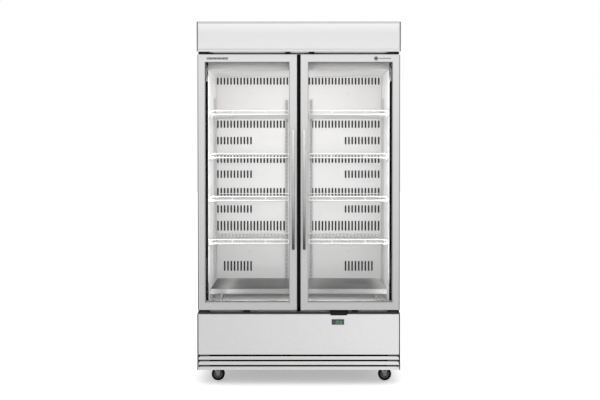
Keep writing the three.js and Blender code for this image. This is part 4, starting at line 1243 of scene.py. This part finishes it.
def castor(name, braked):
    """A zinc castor with a moulded wheel."""
    low, high = box_mm(f"{name}_castor_wheel")
    wx, wy, wz = (low.x + high.x) / 2, (low.y + high.y) / 2, (low.z + high.z) / 2
    radius = (high.z - low.z) / 2
    half = (high.y - low.y) / 2
    sx = wx - 15
    pan = 98.0
    swivel, roller = f"{name}_castor", f"{name}_castor_roller"

    bm = bmesh.new()
    corner = 44.0
    add_box(bm, (sx - corner, wy - corner, pan + 3.2), (sx + corner, wy + corner, pan + 5.6), 1, 1)
    for ux in (-1, 1):
        for uy in (-1, 1):
            head = [(0, pan + 9), (5.5, pan + 9), (6.5, pan + 8), (6.5, pan + 5.4), (0, pan + 5.4)]
            add_lathe(bm, head, (sx + ux * 33, wy + uy * 33, 0), "Z", 6)
    piece(f"{name}_castor_plate", bm, CASTOR_ZINC)

    arm_in, arm_out = half + 2.5, half + 5.0
    bm = bmesh.new()
    race = [(0, 97.4), (27, 97.4), (29.4, 96.4), (30, 94.6), (29.2, 92.8), (27.5, 92), (27.5, 90.6)]
    race += [(29, 89.8), (29, 87.8), (26, 87), (0, 87)]
    add_lathe(bm, race, (sx, wy, 0), "Z", 36)
    top = rectangle(sx - 24, sx + 32, wy - arm_out, wy + arm_out)
    add_prism(bm, top, "Z", 83.8, 88.6, 1.2)
    outline = [(-14, 88), (-14, 82), (wx - sx - 9.5, radius + 4)]
    for k in range(9):
        angle = math.pi + math.pi * k / 8
        outline.append((wx - sx + 9 * math.cos(angle), radius + 9 * math.sin(angle)))
    outline += [(wx - sx + 9.5, radius + 6), (28, 82), (28, 88)]
    pts = [(sx + x, z) for x, z in outline]
    add_prism(bm, pts, "Y", wy - arm_out, wy - arm_in, 0.7)
    add_prism(bm, pts, "Y", wy + arm_in, wy + arm_out, 0.7)
    opening = [(sx - 7, 79), (sx + 21, 79), (sx + 19, 54), (sx + 15, 50), (sx + 10.5, 54)]
    for sign in BOTH:
        y = wy + sign * arm_out
        perforated(bm, pts, [opening], "Y", *sorted((y - sign * 0.2, y + sign * 0.8)), 1)
        nut = [(0, sign * 3.0), (5.0, sign * 3.0), (6.0, sign * 2.2), (6.2, 0), (0, 0)]
        add_lathe(bm, nut, (wx, y, wz), "Y", 6, 1)
        rivet = [(0, sign * 1.6), (2.2, sign * 1.4), (3.4, 0), (0, 0)]
        if braked:
            add_lathe(bm, rivet, (sx - 8, y, 78), "Y", 16)
    axle = [(0, -arm_out), (4, -arm_out), (4, arm_out), (0, arm_out)]
    add_lathe(bm, axle, (wx, wy, wz), "Y", 16)
    piece(f"{name}_castor_yoke", bm, [CASTOR_ZINC, CASTOR_RIB], f"{name}_castor_fork", swivel)

    bm = bmesh.new()
    # the wheel's section is the same on both sides: radius, depth in from the wheel's face
    tread = [(24.5, 1.0), (radius - 4.5, 0), (radius - 1.6, 1.6), (radius - 0.3, 4.5), (radius, 8)]
    hub = [(4.4, 1), (9, 1), (11, 2.2), (12, 5), (18, 6), (21.5, 3.5), (23, 1.6), (24.8, 1.6)]
    tread, hub = [
        [(r, d - half) for r, d in near]
        + [(r, half - d) for r, d in reversed(near)]
        + [(r, d - half) for r, d in near[:1]]
        for near in (tread, hub)
    ]
    add_lathe(bm, tread, (wx, wy, wz), "Y", 48, 0)
    add_lathe(bm, hub, (wx, wy, wz), "Y", 40, 1)
    for c, s in circle(6, 0.3):
        for sign in BOTH:
            y0, y1 = sorted((wy + sign * (half - 7), wy + sign * (half - 2.2)))
            rib = [(11, -1.3), (22, -1.3), (22, 1.3), (11, 1.3)]
            pts = [(wx + u * c - v * s, wz + u * s + v * c) for u, v in rib]
            add_prism(bm, pts, "Y", y0, y1, 0.4, 1, 1)
    piece(f"{name}_castor_tyre", bm, [TYRE, HUB], f"{name}_castor_wheel", roller)

    if braked:
        low_b, high_b = box_mm(f"{name}_castor_brake")
        bm = bmesh.new()
        pedal = [(-2, 72.4), (-2, 80), (-8, 81), (-15, 80.8), (-30, 74), (-44, 68.4), (-46, 66.6)]
        pedal += [(-45.4, 63.4), (-44, 63), (-27, 67), (-15, 70)]
        add_prism(bm, [(sx + x, z) for x, z in pedal], "Y", low_b.y, high_b.y, 1.0)
        for k in range(4):
            x = sx - 26 - k * 4.6
            z = 76 - k * 2.0
            add_box(bm, (x - 0.9, low_b.y + 3, z - 1.8), (x + 0.9, high_b.y - 3, z + 0.5), 0.4, 1)
        piece(
            f"{name}_castor_lever", bm, BLACK, f"{name}_castor_brake",
            f"{name}_castor_pedal",
        )


for end in ("front", "rear"):
    for name, side in SIDES:
        castor(f"{end}_{name}", end == "front")

# ---------------------------------------------------------------- stage, lights, camera


def stage_material():
    m = bpy.data.materials.new("pale_floor")
    m.use_nodes = True
    tree = m.node_tree
    shader = tree.nodes["Principled BSDF"]
    noise = add_node(tree, "ShaderNodeTexNoise", {"Scale": 3.0}).outputs["Fac"]
    tint = add_node(tree, "ShaderNodeMapRange", {"Value": noise, "To Min": 0.93, "To Max": 0.95})
    tree.links.new(tint.outputs["Result"], shader.inputs["Base Color"])
    shader.inputs["Roughness"].default_value = 0.9
    shader.inputs["Specular IOR Level"].default_value = 0.1
    shader.inputs["Emission Color"].default_value = (1, 1, 1, 1)
    shader.inputs["Emission Strength"].default_value = 0.36
    return m


bm = bmesh.new()
bmesh.ops.create_grid(bm, x_segments=1, y_segments=1, size=30.0)
floor_mesh = bpy.data.meshes.new("studio_floor")
bm.to_mesh(floor_mesh)
bm.free()
floor_mesh.materials.append(stage_material())
floor = bpy.data.objects.new("studio_floor", floor_mesh)
bpy.context.scene.collection.objects.link(floor)

scene = bpy.context.scene
scene.view_settings.view_transform = "Standard"
scene.view_settings.look = "None"
world = bpy.data.worlds.new("studio")
world.use_nodes = True
world.node_tree.nodes["Background"].inputs["Color"].default_value = (1, 1, 1, 1)
world.node_tree.nodes["Background"].inputs["Strength"].default_value = 1.0
scene.world = world


def area_light(name, place, target, width, height, power):
    """A soft light that no camera or mirror sees, in metres and watts."""
    data = bpy.data.lights.new(name, "AREA")
    data.shape = "RECTANGLE"
    data.size, data.size_y = width, height
    data.energy = power
    obj = bpy.data.objects.new(name, data)
    obj.location = place
    obj.rotation_euler = (Vector(target) - Vector(place)).to_track_quat("-Z", "Y").to_euler()
    obj.visible_camera = False
    obj.visible_glossy = False
    scene.collection.objects.link(obj)


area_light("key_above", (0.6, -3.4, 4.2), (0, -0.3, 1.3), 3.5, 1.6, 8)
for name, side in SIDES:
    for kind, place, target, width, height, power in (
        ("strip", (0.504, -0.250, 1.17), (0.20, 0.27, 1.17), 0.012, 1.1, 1.0),
        ("bay_fill", (0.27, -0.250, 1.20), (0.27, 0.27, 1.20), 0.42, 1.15, 1.5),
        ("wall_fill", (0.035, 0.0, 1.20), (0.50, 0.0, 1.20), 0.42, 1.10, 1.12),
    ):
        place, target = [(side * x, y, z) for x, y, z in (place, target)]
        area_light(f"{name}_{kind}", place, target, width, height, power)
area_light("under_tray_fill", (0, -0.232, 0.514), (0, 0.10, 0.452), 0.96, 0.03, 1.6)
area_light("ceiling_fill", (0, -0.20, 1.755), (0, 0.05, 1.0), 0.9, 0.05, 0.5)

camera_data = bpy.data.cameras.new("camera")
camera_data.sensor_width = 36.0
camera_data.lens = 59.5
camera_data.shift_y = -0.0438
camera = bpy.data.objects.new("camera", camera_data)
camera.location = (0.0069, -5.817, 1.268)
camera.rotation_euler = (math.radians(90 - 0.953), 0, 0)
scene.collection.objects.link(camera)
scene.camera = camera
